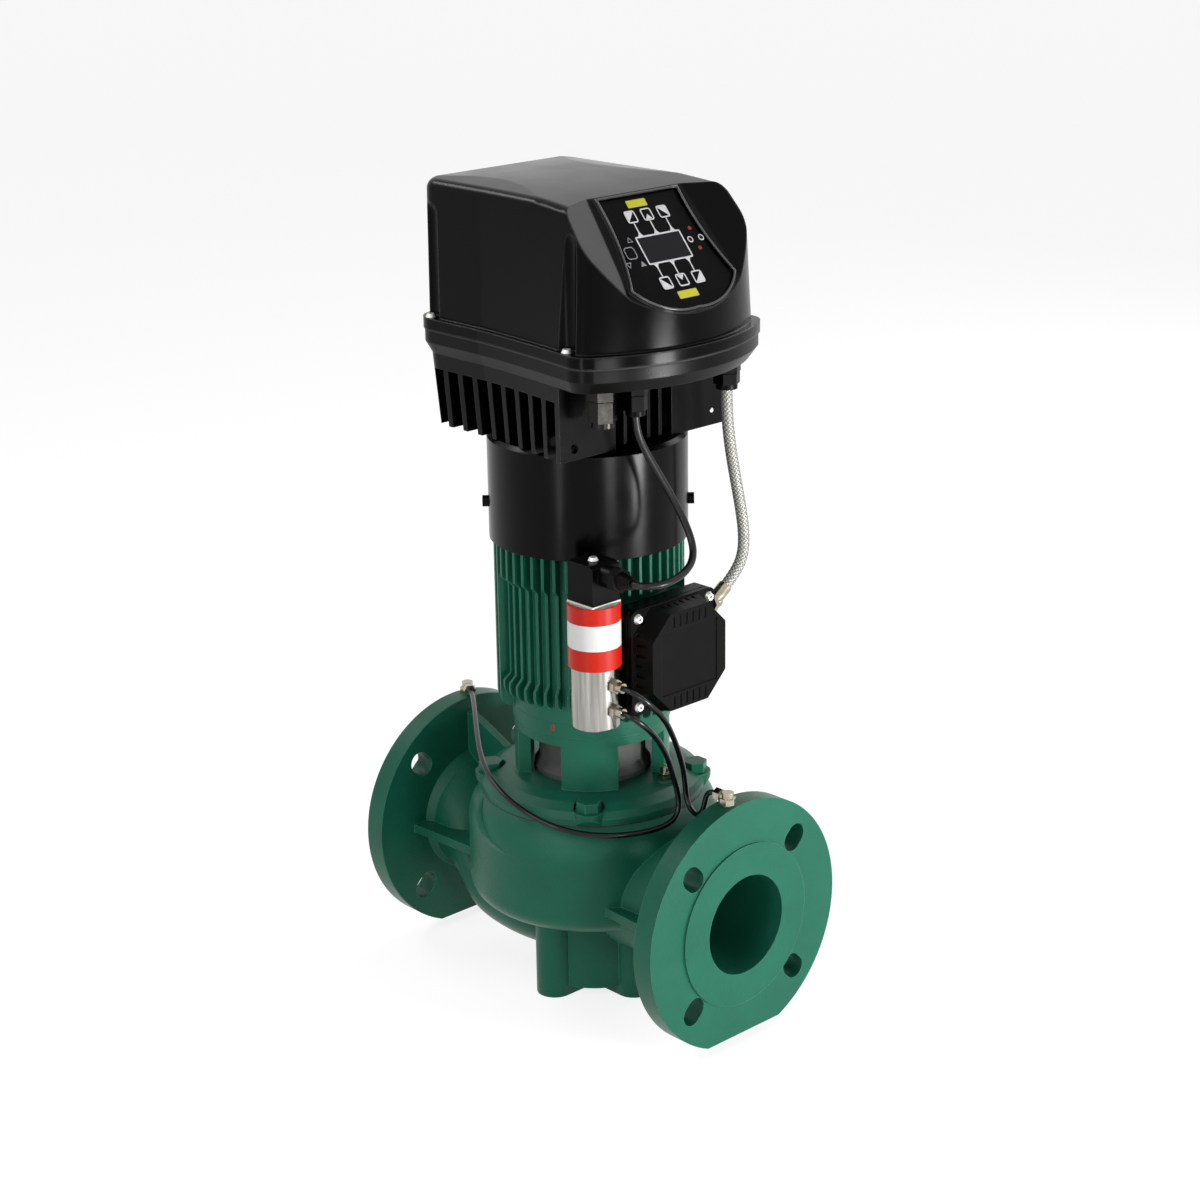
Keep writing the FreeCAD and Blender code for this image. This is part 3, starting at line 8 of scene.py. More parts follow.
import bpy
import numpy as np
from mathutils import Matrix, Vector


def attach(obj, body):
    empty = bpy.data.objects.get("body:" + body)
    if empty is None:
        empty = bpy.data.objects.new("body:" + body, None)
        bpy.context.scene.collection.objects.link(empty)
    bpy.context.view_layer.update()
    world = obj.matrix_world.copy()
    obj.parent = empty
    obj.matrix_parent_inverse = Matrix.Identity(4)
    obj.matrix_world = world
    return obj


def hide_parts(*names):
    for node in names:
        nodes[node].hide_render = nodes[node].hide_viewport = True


MM = 0.001

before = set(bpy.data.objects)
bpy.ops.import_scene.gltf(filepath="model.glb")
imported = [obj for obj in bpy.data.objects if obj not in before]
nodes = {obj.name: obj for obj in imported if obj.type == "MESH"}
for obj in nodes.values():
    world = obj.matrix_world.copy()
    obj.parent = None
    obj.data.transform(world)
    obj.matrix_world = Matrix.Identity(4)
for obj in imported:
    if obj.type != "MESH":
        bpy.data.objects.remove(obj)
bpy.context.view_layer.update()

# The display slope of the lid: its middle, its fall, and the keys and prints on it
PANEL_X, PANEL_Z = 85.5, 611.0
SLOPE = math.radians(50.0)
KEY_HALF = 5.2
KEY_TOP = 0.4
KEY_ROW = 28.0
KEY_PITCH = 16.0
SIDE_KEY = -34.0
INK = 0.1                        # how far a print stands off what it is printed on
LINE = 1.3                       # width of the line round the window
WINDOW_HALF = (21.7, 11.2)       # white line round the window
KEY_LINE, FLARE = 1.1, 5.0       # width of the lines to the keys, and what it gains at the window
KEY_FRAME = (0.6, 1.5, 1.1)      # frame on a key: inset, corner radius, width of its line
SIDE_KEY_FRAME = (0.5, 2.4, 0.8)
BAR_HALF = (9.6, 3.1)            # plain bars, and where their middles are
BARS = ((-4.0, 38.3), (-1.0, -39.3))

# Sections carried along a line: share of the width across, and lift in mm
PRINT = np.array([(-0.5, -0.3), (-0.5, 0.6), (-0.42, 1.0), (0.42, 1.0), (0.5, 0.6),
                  (0.5, -0.3)]) * (1, INK)
BEAD = np.array([(-0.5, -0.4), (-0.5, 0.0), (-0.46, 0.38), (-0.35, 0.68), (-0.19, 0.88),
                 (0.0, 0.95), (0.19, 0.88), (0.35, 0.68), (0.46, 0.38), (0.5, 0.0), (0.5, -0.4)])

# Light guides with a ring round them: their middles across and how far up, and the radius of
# the ring and of the dark well in it
RINGED_LIGHTS = (27.6, 38.6)
LIGHTS_UP = 2.0
RING_R, WELL_R = 2.2, 1.7

# The display's raised border: half widths at its top, in its middle and where it is widest,
# how far up or down the slope these and its tip are, and where a lower side bends, as shares
# of its width and of its fall; then the bead's width and the level that it stands on
BORDER_TOP_HALF, BORDER_MID_HALF, BORDER_LOW_HALF = 40.45, 42.45, 51.95
BORDER_TOP_UP, BORDER_MID_UP, BORDER_LOW_DOWN, BORDER_TIP_DOWN = 45.45, 5.5, 30.0, 51.45
BORDER_BEND = (0.72, 0.62)
BEAD_WIDTH, BEAD_BASE = 1.8, 1.5

# Screws: the lid's by (x, y) and the level of their tops; the terminal box's by the x of
# their tops and how far they stand from its middle; the middle of the heat sink's
LID_SCREWS = ((74, 86.5), (74, -86.5), (-89, -77), (-89, 77))
LID_SCREW_TOP = 548.6
BOX_SCREW_TOP = 95.6
BOX_Z = 303
BOX_SCREW_Y, BOX_SCREW_Z = 37.5, 35
SOCKET_R = 1.1
SINK_SCREW = (62.5, 71.2, 472.6)

CASING_R = 100.0                 # casing under the lip
SHIELD_R = 62.5                  # motor's shield under the dab of paint

# Cords' radii, and the braid: strands in each of its two families, and depth of its gaps
TUBE_R, LEAD_R, CONDUIT_R = 2.2, 2.8, 4.6
STRANDS = 8
STRAND_DEPTH = 0.5

# Lamps, in metres and watts: place, width, height, power; then the point they face
LAMPS = {"right_lamp": ((1.2, 0.3, 0.19), 0.26, 0.15, 13.0),
         "front_lamp": ((1.1, -0.36, 0.22), 0.2, 0.15, 2.2),
         "post_lamp": ((0.35, -1.25, 0.19), 0.1, 0.26, 1.1),
         "left_lamp": ((0.3, -2.1, 1.5), 1.2, 1.2, 14.0),
         "edge_lamp": ((-1.3, -0.55, 1.75), 0.9, 0.2, 7.0),
         "back_lamp": ((-0.2, 2.2, 1.5), 1.2, 1.2, 14.0)}
LAMP_AIM = Vector((0, 0, 0.33))
SURROUND_FILL = 0.28             # strength of the surround for rays that don't show it
FLOOR_HALF, FLOOR_GLOW = 20.0, 0.8

# Cords, in mm, as the part's source has them
DISCHARGE_ROUTE = [(104.5, -63.9, 293.0), (110.5, -63.5, 293.0), (117.0, -57.0, 286.5),
                   (120.0, -47.5, 277.0), (119.0, -35.0, 264.0), (116.0, -24.5, 248.0),
                   (111.0, -13.5, 231.0), (106.5, -4.0, 213.0), (104.0, 0.5, 199.0),
                   (104.5, 1.0, 187.5), (110.0, -0.5, 179.5), (119.0, -3.0, 177.5),
                   (127.5, -5.5, 181.5), (132.5, -7.5, 190.0), (136.0, -9.0, 199.5),
                   (141.5, -10.0, 206.0), (148.0, -10.0, 206.0)]
SUCTION_ROUTE = [(104.5, -63.9, 273.0), (110.0, -63.5, 273.0), (115.0, -57.5, 267.0),
                 (116.5, -48.0, 258.0), (112.5, -34.5, 244.0), (106.0, -20.5, 227.0),
                 (101.0, -10.0, 208.0), (100.0, -4.0, 192.0), (102.0, -3.5, 180.5),
                 (103.5, -9.0, 172.0), (103.0, -19.0, 168.5), (100.0, -31.0, 167.0),
                 (94.0, -45.0, 166.5), (84.0, -62.0, 167.0), (69.0, -79.0, 169.5),
                 (48.0, -93.0, 175.0), (19.0, -100.0, 184.0), (-14.0, -95.0, 193.0),
                 (-47.0, -77.0, 199.0), (-77.0, -55.0, 203.0), (-105.0, -33.0, 205.5),
                 (-128.0, -15.0, 206.0), (-141.0, -5.0, 206.0), (-150.0, 0.0, 206.0)]
SENSOR_ROUTE = [(88.0, -33.0, 496.0), (88.0, -33.0, 484.0), (90.5, -28.0, 468.0),
                (96.0, -19.0, 449.0), (103.0, -10.5, 429.0), (111.5, -5.5, 410.0),
                (120.5, -6.5, 395.0), (127.5, -14.0, 386.0), (132.0, -26.5, 381.0),
                (134.5, -40.0, 379.0), (134.0, -52.0, 378.0), (130.0, -62.0, 378.0),
                (124.0, -66.0, 378.0), (118.0, -66.0, 378.0)]
CONDUIT_ROUTE = [(88.0, 62.0, 499.0), (88.0, 62.0, 480.0), (88.0, 65.5, 452.0),
                 (88.0, 71.5, 425.0), (88.0, 77.5, 400.0), (88.0, 81.5, 378.0),
                 (88.0, 80.5, 360.0), (88.0, 71.0, 347.0), (88.0, 60.6, 339.7)]


def linear(hex_code):
    """sRGB hex to a linear colour: each channel through the sRGB transfer curve."""
    channels = [int(hex_code[i:i + 2], 16) / 255 for i in (1, 3, 5)]
    return [c / 12.92 if c <= 0.04045 else ((c + 0.055) / 1.055) ** 2.4 for c in channels] + [1.0]


def add(tree, kind, links=None, **settings):
    """Adds one node: settings are its attributes, links join its inputs or set their values."""
    made = tree.nodes.new("ShaderNode" + kind)
    for name, value in settings.items():
        setattr(made, name, value)
    for name, value in (links or {}).items():
        if isinstance(value, bpy.types.NodeSocket):
            tree.links.new(value, made.inputs[name])
        else:
            made.inputs[name].default_value = value
    return made


def finish_of(name, **sockets):
    """New material: its tree, its shader with the plain sockets set, and where a point is on
    the object."""
    material = bpy.data.materials.new(name)
    material.use_nodes = True
    tree = material.node_tree
    shader = tree.nodes["Principled BSDF"]
    for socket, value in sockets.items():
        shader.inputs[socket.replace("_", " ")].default_value = value
    return material, tree, shader, add(tree, "TexCoord").outputs["Object"]


def relief(tree, shader, height, depth_mm, edge_mm):
    """Bump of a height that is depth_mm from 0 to 1, over edges rounded by edge_mm."""
    rounded = add(tree, "Bevel", {"Radius": edge_mm * MM}, samples=4)
    bump = add(tree, "Bump", {"Height": height, "Distance": depth_mm * MM,
                              "Normal": rounded.outputs[0]})
    tree.links.new(bump.outputs[0], shader.inputs["Normal"])


def edge_highlight_share(tree, edge_mm):
    """From 0 on a face to 1 on an edge, the mask of a painted edge highlight: how far a normal
    that is rounded over edge_mm leans away from the face's own, one less their dot product."""
    rounded = add(tree, "Bevel", {"Radius": edge_mm * MM}, samples=4)
    flat = add(tree, "NewGeometry")
    dot = add(tree, "VectorMath", {0: rounded.outputs[0], 1: flat.outputs["Normal"]},
              operation="DOT_PRODUCT")
    return add(tree, "MapRange", {"Value": dot.outputs["Value"], "From Min": 0.98, "From Max": 0.82,
                                  "To Min": 0.0, "To Max": 1.0}).outputs[0]


def cast_enamel(name, colour, pooled, painted_edge_highlight, rough, grain_mm):
    """Semi-gloss enamel sprayed over sand-cast iron: the coat softens the sand's grain and
    leaves some orange peel, and it is darker where it pools. It is painted paler along the
    edges, as a painted highlight. Its gloss is uneven, so highlights break up."""
    material, tree, shader, place = finish_of(name, IOR=1.45, Specular_IOR_Level=0.2)
    sand = add(tree, "TexNoise", {"Vector": place, "Scale": 1 / (grain_mm * MM), "Detail": 4.0})
    pool = add(tree, "TexNoise", {"Vector": place, "Scale": 1 / (38 * MM), "Detail": 3.0})
    share = add(tree, "MapRange", {"Value": pool.outputs[0], "From Min": 0.35, "From Max": 0.65})
    coat = add(tree, "Mix", {0: share.outputs[0], 6: linear(pooled), 7: linear(colour)},
               data_type="RGBA")
    # Paler colour along every edge: a painted highlight
    tint = add(tree, "Mix", {0: edge_highlight_share(tree, 0.9), 6: coat.outputs[2], 7: linear(painted_edge_highlight)},
               data_type="RGBA")
    gloss = add(tree, "MapRange", {"Value": sand.outputs[0], "From Min": 0.3, "From Max": 0.7,
                                   "To Min": rough - 0.05, "To Max": rough + 0.09})
    tree.links.new(tint.outputs[2], shader.inputs["Base Color"])
    tree.links.new(gloss.outputs[0], shader.inputs["Roughness"])
    relief(tree, shader, sand.outputs[0], 0.3, 1.4)
    return material


def black_moulding(name, colour, edge_highlight_tint, rough, grain_mm, depth_mm, edge_mm, shine):
    """Black moulding or black coat: deep black faces that mirror little, a grain from the
    tool or the powder, a gloss that drifts over a hand's width, and greyer edges painted as a
    highlight."""
    material, tree, shader, place = finish_of(name, IOR=1.45, Specular_IOR_Level=shine)
    grain = add(tree, "TexNoise", {"Vector": place, "Scale": 1 / (grain_mm * MM), "Detail": 2.0})
    drift = add(tree, "TexNoise", {"Vector": place, "Scale": 1 / (30 * MM), "Detail": 3.0})
    gloss = add(tree, "MapRange", {"Value": drift.outputs[0], "From Min": 0.3, "From Max": 0.7,
                                   "To Min": rough - 0.03, "To Max": rough + 0.05})
    # Greyer colour along every edge: a painted highlight
    tint = add(tree, "Mix", {0: edge_highlight_share(tree, edge_mm), 6: linear(colour), 7: linear(edge_highlight_tint)},
               data_type="RGBA")
    tree.links.new(tint.outputs[2], shader.inputs["Base Color"])
    tree.links.new(gloss.outputs[0], shader.inputs["Roughness"])
    relief(tree, shader, grain.outputs[0], depth_mm, edge_mm)
    return material


def tinted_plastic(name, colour, shade, rough, grain_mm=1.2, **sockets):
    """Coloured plastic, rubber, print or film: a tint that drifts a little, as pigment does,
    and a faint grain that keeps the highlight soft."""
    material, tree, shader, place = finish_of(name, **{"IOR": 1.45, **sockets})
    grain = add(tree, "TexNoise", {"Vector": place, "Scale": 1 / (grain_mm * MM), "Detail": 3.0})
    tint = add(tree, "Mix", {0: grain.outputs[0], 6: linear(shade), 7: linear(colour)},
               data_type="RGBA")
    gloss = add(tree, "MapRange", {"Value": grain.outputs[0], "To Min": rough - 0.04,
                                   "To Max": rough + 0.04})
    tree.links.new(tint.outputs[2], shader.inputs["Base Color"])
    tree.links.new(gloss.outputs[0], shader.inputs["Roughness"])
    relief(tree, shader, grain.outputs[0], 0.02, 0.4)
    return material


def worked_metal(name, colour, shade, rough, marks):
    """Bare or plated metal: tool marks run round or across the part, as marks stretches them
    on x, y and z, so highlights spread across them; the tint drifts with handling."""
    material, tree, shader, place = finish_of(name, Metallic=1.0)
    squeezed = add(tree, "Mapping", {"Vector": place, "Scale": marks})
    lines = add(tree, "TexNoise", {"Vector": squeezed.outputs[0], "Scale": 1 / (9 * MM),
                                   "Detail": 4.0})
    tint = add(tree, "Mix", {0: lines.outputs[0], 6: linear(shade), 7: linear(colour)},
               data_type="RGBA")
    gloss = add(tree, "MapRange", {"Value": lines.outputs[0], "From Min": 0.3, "From Max": 0.7,
                                   "To Min": rough - 0.06, "To Max": rough + 0.08})
    tree.links.new(tint.outputs[2], shader.inputs["Base Color"])
    tree.links.new(gloss.outputs[0], shader.inputs["Roughness"])
    relief(tree, shader, lines.outputs[0], 0.02, 0.4)
    return material


def woven_screen(name):
    """Tinned wire braid: pale strands, darkened towards the gaps between them as painted shade,
    which give the conduit its chevrons. They are drawn 3.6 mm apart, about twice as coarse as
    real ones, so that they show. The strands are the mesh's own relief and its crest attribute,
    and the wires in a strand follow the tube's UV map, whose unit is a metre."""
    material, tree, shader, _ = finish_of(name, Metallic=0.5, Roughness=0.42)
    along = add(tree, "UVMap")
    wire = add(tree, "TexNoise", {"Vector": along.outputs[0], "Scale": 1 / (0.7 * MM),
                                  "Detail": 2.0})
    crest = add(tree, "Attribute", attribute_name="crest")
    gap_shade = add(tree, "MapRange", {"Value": crest.outputs["Fac"], "From Min": 0.1, "From Max": 0.75})
    # Dark towards the gaps between strands: painted shade
    tint = add(tree, "Mix", {0: gap_shade.outputs[0], 6: linear("#2c2c29"), 7: linear("#aaaaa4")},
               data_type="RGBA")
    tree.links.new(tint.outputs[2], shader.inputs["Base Color"])
    relief(tree, shader, wire.outputs[0], 0.1, 0.2)
    return material


def show(name, data, material, body):
    """Puts a piece into the scene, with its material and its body."""
    data.materials.append(material)
    made = bpy.data.objects.new(name, data)
    bpy.context.scene.collection.objects.link(made)
    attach(made, body)
    return made


def skin(points, loop):
    """Closed skin over points[station, profile]. Neighbours in the grid are joined into
    four-sided faces, round the profile always and along the stations to the first one again
    where they are a loop; open ends are closed by a fan. The faces are turned over where the
    enclosed volume, a sixth of the sum of p0 . (p1 x p2), comes out negative."""
    count, girth = points.shape[:2]
    index = np.arange(count * girth).reshape(count, girth)
    here, ahead = (index, np.roll(index, -1, 0)) if loop else (index[:-1], index[1:])
    quads = np.stack([here, np.roll(here, -1, 1), np.roll(ahead, -1, 1), ahead], -1).reshape(-1, 4)
    corners = [quads[:, [0, 1, 2]], quads[:, [0, 2, 3]]]
    if not loop:
        fan = np.stack([np.zeros(girth - 2, int), np.arange(1, girth - 1), np.arange(2, girth)], -1)
        corners += [index[0][fan][:, ::-1], index[-1][fan]]
    corners = np.concatenate(corners)
    flat = points.reshape(-1, 3)
    p = flat[corners]
    if np.einsum("ij,ij->i", p[:, 0], np.cross(p[:, 1], p[:, 2])).sum() < 0:
        corners = corners[:, ::-1]
    return flat, corners


def joined(name, skins, smooth=False):
    """One mesh of several closed skins, given in mm."""
    starts = np.cumsum([0] + [len(flat) for flat, corners in skins])
    flat = np.concatenate([flat for flat, corners in skins]) * MM
    corners = np.concatenate([corners + start for (_, corners), start in zip(skins, starts)])
    mesh = bpy.data.meshes.new(name)
    mesh.from_pydata(flat, [], corners)
    mesh.polygons.foreach_set("use_smooth", np.full(len(corners), smooth))
    mesh.update()
    return mesh


def on_slope(across, up, lift):
    """Points of the display slope: across it (y), up it and off it, from the panel's middle."""
    return np.stack([PANEL_X - up * math.cos(SLOPE) + lift * math.sin(SLOPE),
                     across + 0 * up,
                     PANEL_Z + up * math.sin(SLOPE) + lift * math.cos(SLOPE)], -1)


def rounded(half_a, half_b, corner, steps):
    """Rounded rectangle: quarter circles of a radius round four centres, as one closed line."""
    turn = np.linspace(0, np.pi / 2, steps)[None, :] + np.arange(4)[:, None] * np.pi / 2
    side = np.array([(1, 1), (-1, 1), (-1, -1), (1, -1)])[:, None, :]
    centre = side * (half_a - corner, half_b - corner)
    return (centre + corner * np.stack([np.cos(turn), np.sin(turn)], -1)).reshape(-1, 2)


def circle(radius):
    """A circle, with 0.02 mm of straight side so that no two of its points fall together."""
    return rounded(radius, radius, radius - 0.01, 5)


def slope_line(line, width, base, loop, section=PRINT):
    """A line on the slope: a section, width across, is carried along a line of (across, up)
    points, square to the mean of the runs beside each. A print's section is flat and low."""
    line = np.asarray(line, float)
    width = np.broadcast_to(width, len(line))[:, None]
    runs = np.roll(line, -1, 0) - line
    runs /= np.linalg.norm(runs, axis=1, keepdims=True)
    before = np.roll(runs, 1, 0)
    if not loop:
        runs[-1] = before[-1]
        before[0] = runs[0]
    square = np.stack([-runs[:, 1], runs[:, 0]], -1) + np.stack([-before[:, 1], before[:, 0]], -1)
    square /= 0.5 * (square ** 2).sum(1, keepdims=True)
    lift = base + section[:, 1]
    at = line[:, None, :] + square[:, None, :] * (width * section[:, 0])[:, :, None]
    return skin(on_slope(at[..., 0], at[..., 1], np.broadcast_to(lift, at.shape[:2])), loop)


def printed_shape(outline, base):
    """A filled shape on the slope: its convex outline carried from just under the surface up
    to the print's top, where it is drawn in by a twentieth."""
    outline = np.asarray(outline, float)
    middle = outline.mean(0)
    rings = np.stack([outline, outline, middle + (outline - middle) * 0.95])
    lift = base + INK * np.array([-0.3, 0.6, 1.0])[:, None]
    lift = np.broadcast_to(lift, rings.shape[:2])
    return skin(on_slope(rings[..., 0], rings[..., 1], lift), False)


def arc(start, way, end, steps=14):
    """Points of the circle through three points, from the first to just before the last: its
    middle is where the square middles of the two chords meet, and the angle runs evenly."""
    start, way, end = (np.array(p, float) for p in (start, way, end))
    middle = np.linalg.solve(2 * np.array([way - start, end - start]),
                             [way @ way - start @ start, end @ end - start @ start])
    angles = np.unwrap([math.atan2(*(p - middle)[::-1]) for p in (start, way, end)])
    turn = np.linspace(angles[0], angles[2], steps)[:-1, None]
    return middle + np.linalg.norm(start - middle) * np.hstack([np.cos(turn), np.sin(turn)])


def display_border(finish):
    """Rounded bead on the raised border of the display, which catches a line of light and whose
    greyer tint adds a painted highlight: a half round carried along the border's arcs, right side,
    bottom, left side and top."""
    wide, mid, low = BORDER_TOP_HALF, BORDER_MID_HALF, BORDER_LOW_HALF
    fall = BORDER_TIP_DOWN - BORDER_LOW_DOWN
    bend = (low * BORDER_BEND[0], -BORDER_LOW_DOWN - fall * BORDER_BEND[1])
    top_right, top_left = (wide, BORDER_TOP_UP), (-wide, BORDER_TOP_UP)
    low_right, low_left = (low, -BORDER_LOW_DOWN), (-low, -BORDER_LOW_DOWN)
    tip = (0, -BORDER_TIP_DOWN)
    line = np.concatenate([
        arc(top_right, (mid, BORDER_MID_UP), low_right), arc(low_right, bend, tip),
        arc(tip, (-bend[0], bend[1]), low_left), arc(low_left, (-mid, BORDER_MID_UP), top_left),
        np.stack([np.linspace(-wide, wide, 12)[:-1], np.full(11, BORDER_TOP_UP)], -1)])
    bead = slope_line(line, BEAD_WIDTH, BEAD_BASE, True, BEAD)
    show("display_border", joined("display_border", [bead], True), finish["bead"],
         "pump_body")


def volute_lip(finish):
    """Crescent lip where the scroll winds over itself, on the casing's left front. Its middle
    line runs from low on the right up to the shoulder; across it, q goes from -1 at the lower
    side to 1 at the upper, and the lift is that of the place times ((q + 1) / 1.6) ** 1.5 up to
    q = 0.6 and falls from there as a cosine. The casing under it is 100 mm in radius and
    above z = 140 draws in by 11 mm times ((z - 140) / 28) ** 2.7."""
    # Angle in degrees, height, half width and lift in mm, at places along the middle line
    line = np.array([(-77.6, 138.8, 0.6, 0.11), (-86.5, 138.6, 2.4, 0.66),
                     (-97.0, 142.3, 4.2, 1.375), (-105.0, 149.5, 5.4, 3.85),
                     (-112.5, 158.5, 5.0, 4.84), (-118.0, 166.0, 2.8, 1.98)])
    way = np.linspace(0, len(line) - 1, 60)
    softened = [np.convolve(np.pad(column, 1, mode="edge"), (0.12, 0.76, 0.12), "valid")
                for column in line.T]
    angle, height, half, lift = (np.interp(way, np.arange(len(line)), column)
                                 for column in softened)
    ahead = np.stack([np.gradient(np.radians(angle) * CASING_R), np.gradient(height)], -1)
    ahead /= np.linalg.norm(ahead, axis=1, keepdims=True)
    q = np.linspace(-1, 1, 17)
    swell = np.where(q < 0.6, (np.clip(q + 1, 0, 2) / 1.6) ** 1.5,
                     0.5 + 0.5 * np.cos((q - 0.6) * 2.5 * np.pi))
    # The last two points of the section close it, under the casing's surface
    q, swell = np.concatenate([q, [0.6, -0.6]]), np.concatenate([swell, [0, 0]])
    sunk = np.concatenate([np.full(17, 0.25), [1.5, 1.5]])
    across = half[:, None] * q
    turn = np.radians(angle)[:, None] + ahead[:, 1:] * across / CASING_R
    z = height[:, None] - ahead[:, :1] * across
    casing = CASING_R - 11 * np.clip((z - 140) / 28, 0, 1) ** 2.7
    reach = casing - sunk + lift[:, None] * swell
    points = np.stack([reach * np.cos(turn), reach * np.sin(turn), z], -1)
    show("volute_lip", joined("volute_lip", [skin(points, False)], True), finish["enamel"],
         "pump_body")


def display_prints(finish):
    """White lines round the window and to the keys, the side marks and the two plain bars."""
    white = [slope_line(rounded(*WINDOW_HALF, 0.8, 3), LINE, 0, True)]
    way = np.linspace(0, 1, 9)
    flare = KEY_LINE + FLARE * np.clip(1 - way / 0.4, 0, 1) ** 2
    for column in (-KEY_PITCH, 0.0, KEY_PITCH):
        for side in (1, -1):
            near = side * (WINDOW_HALF[1] + 0.3)
            far = side * (KEY_ROW - KEY_HALF)
            line = np.stack([column + 0 * way, near + (far - near) * way], -1)
            white.append(slope_line(line, flare, 0, False))
    for middle in RINGED_LIGHTS:
        white.append(slope_line(circle(RING_R) + (middle, LIGHTS_UP), 0.9, 0.25, True))
    show("window_and_key_lines", joined("window_and_key_lines", white), finish["white_ink"],
         "pump_body")
    wells = [printed_shape(circle(WELL_R) + (middle, LIGHTS_UP), 0.3)
             for middle in RINGED_LIGHTS]
    show("dark_light_wells", joined("dark_light_wells", wells), finish["black_ink"],
         "pump_body")
    up = np.array([(-2.3, -1.8), (2.3, -1.8), (0.0, 2.0)])
    marks = [slope_line(up + (-28.5, 10.5), 0.6, 0, True),
             slope_line(up * (1, -1) + (-40.5, -9.0), 0.7, 0, True),
             printed_shape(up * 1.15 + (-27.5, -9.6), 0)]
    show("side_marks", joined("side_marks", marks), finish["grey_ink"], "pump_body")
    bars = [printed_shape(rounded(*BAR_HALF, 0.8, 4) + middle, 0) for middle in BARS]
    show("plain_bars", joined("plain_bars", bars), finish["yellow_ink"], "pump_body")


def key_frame(middle, inset, corner, width):
    """Rounded frame on a key's own top, inset from the key's edge."""
    edge = rounded(KEY_HALF - inset, KEY_HALF - inset, corner, 4) + middle
    return slope_line(edge, width, KEY_TOP, True)


def key_prints(finish):
    """Each key's rounded frame with its part-filled triangle, on the key itself."""
    reach = KEY_HALF - 1.3
    half = np.array([(-reach, reach), (reach, reach), (-reach, -reach)])
    peak = np.array([(-3.2, -reach), (3.2, -reach), (0.0, 0.2)])
    fills = (half, peak, half * (-1, 1), half * (1, -1), peak * (1, -1), half * (-1, -1))
    for number, fill in enumerate(fills, 1):
        middle = ((number - 1) % 3 * KEY_PITCH - KEY_PITCH, KEY_ROW if number < 4 else -KEY_ROW)
        shapes = [key_frame(middle, *KEY_FRAME), printed_shape(fill + middle, KEY_TOP)]
        name = "key_%d_print" % number
        show(name, joined(name, shapes), finish["white_ink"], "key_%d" % number)
    ring = key_frame((SIDE_KEY, 0), *SIDE_KEY_FRAME)
    show("key_7_print", joined("key_7_print", [ring]), finish["grey_ink"], "key_7")


def screw_sockets(finish):
    """Hexagon sockets of the screws as painted shade: a flat dark six-sided prism in the middle of
    each head, standing in for the shaded recess.
    """
    heads = [((x, y, LID_SCREW_TOP), (1, 0, 0), (0, 1, 0)) for x, y in LID_SCREWS]
    heads += [((BOX_SCREW_TOP, y, BOX_Z + z), (0, 1, 0), (0, 0, 1))
              for y in (-BOX_SCREW_Y, BOX_SCREW_Y) for z in (-BOX_SCREW_Z, BOX_SCREW_Z)]
    sixth = np.arange(6)[:, None] * np.pi / 3
    prisms = []
    for middle, one, other in np.array(heads, float):
        flat = SOCKET_R * (np.cos(sixth) * one + np.sin(sixth) * other)
        level = np.array([-0.4, 0.05])[:, None, None] * np.cross(one, other)
        prisms.append(skin(middle + flat[None] + level, False))
    show("screw_sockets", joined("screw_sockets", prisms), finish["black_ink"], "pump_body")


def sink_screw(finish):
    """Small round screw on the heat sink's front plate: rings of falling radius, stacked along
    x, with the edge rolled over."""
    x, y, z = SINK_SCREW
    rim = np.linspace(0, 2 * np.pi, 25)[:-1]
    reach = np.array([1.9, 1.9, 1.6, 0.8])[:, None]
    out = np.array([-0.3, 0.6, 1.0, 1.15])[:, None]
    points = np.stack([x + out + 0 * rim, y + reach * np.cos(rim), z + reach * np.sin(rim)], -1)
    show("sink_screw", joined("sink_screw", [skin(points, False)], True), finish["zinc"],
         "pump_body")


def paint_dot(finish):
    """A dab of red paint on the motor's shield: an oval bulging off the round shield, nearly
    level in its middle and falling ever faster towards its edge, which is sunk in."""
    height, angle = 236.5, math.radians(-72.0)
    rim = np.linspace(0, 2 * np.pi, 25)[:-1]
    share = np.array([1.0, 1.0, 0.75, 0.45, 0.05])[:, None]
    lift = np.array([-0.3, 0.05, 0.22, 0.32, 0.36])[:, None]
    turn = angle + share * 1.9 * np.cos(rim) / SHIELD_R
    out = SHIELD_R + lift + 0 * turn
    points = np.stack([out * np.cos(turn), out * np.sin(turn),
                       height + share * 3.8 * np.sin(rim)], -1)
    show("paint_dot", joined("paint_dot", [skin(points, False)], True), finish["red_lacquer"],
         "pump_body")


def route_curve(name, route):
    """A cord's line: one smooth spline whose control points are the route's points."""
    data = bpy.data.curves.new(name, "CURVE")
    data.dimensions = "3D"
    spline = data.splines.new("NURBS")
    spline.points.add(len(route) - 1)
    spline.points.foreach_set("co", np.c_[np.array(route) * MM, np.ones(len(route))].ravel())
    spline.order_u = 3
    spline.use_endpoint_u = True
    data.resolution_u = 12
    return data


def centre_line(name, route):
    """Points of a route's spline, in metres, as Blender gives them for a bare curve."""
    data = route_curve(name, route)
    bare = bpy.data.objects.new(name, data)
    mesh = bpy.data.meshes.new_from_object(bare)
    points = np.empty(len(mesh.vertices) * 3)
    mesh.vertices.foreach_get("co", points)
    bpy.data.meshes.remove(mesh)
    bpy.data.objects.remove(bare)
    bpy.data.curves.remove(data)
    return points.reshape(-1, 3)


def length_of(points):
    return float(np.linalg.norm(np.diff(points, axis=0), axis=1).sum())


def round_cord(name, node, route, radius, material):
    """A tube or cable of one round section along its route."""
    data = route_curve(name, route)
    data.bevel_depth = radius * MM
    data.bevel_resolution = 6
    data.use_fill_caps = True
    piece = show(name, data, material, "pump_body")
    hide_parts(node)
    length_of(centre_line(name, route))


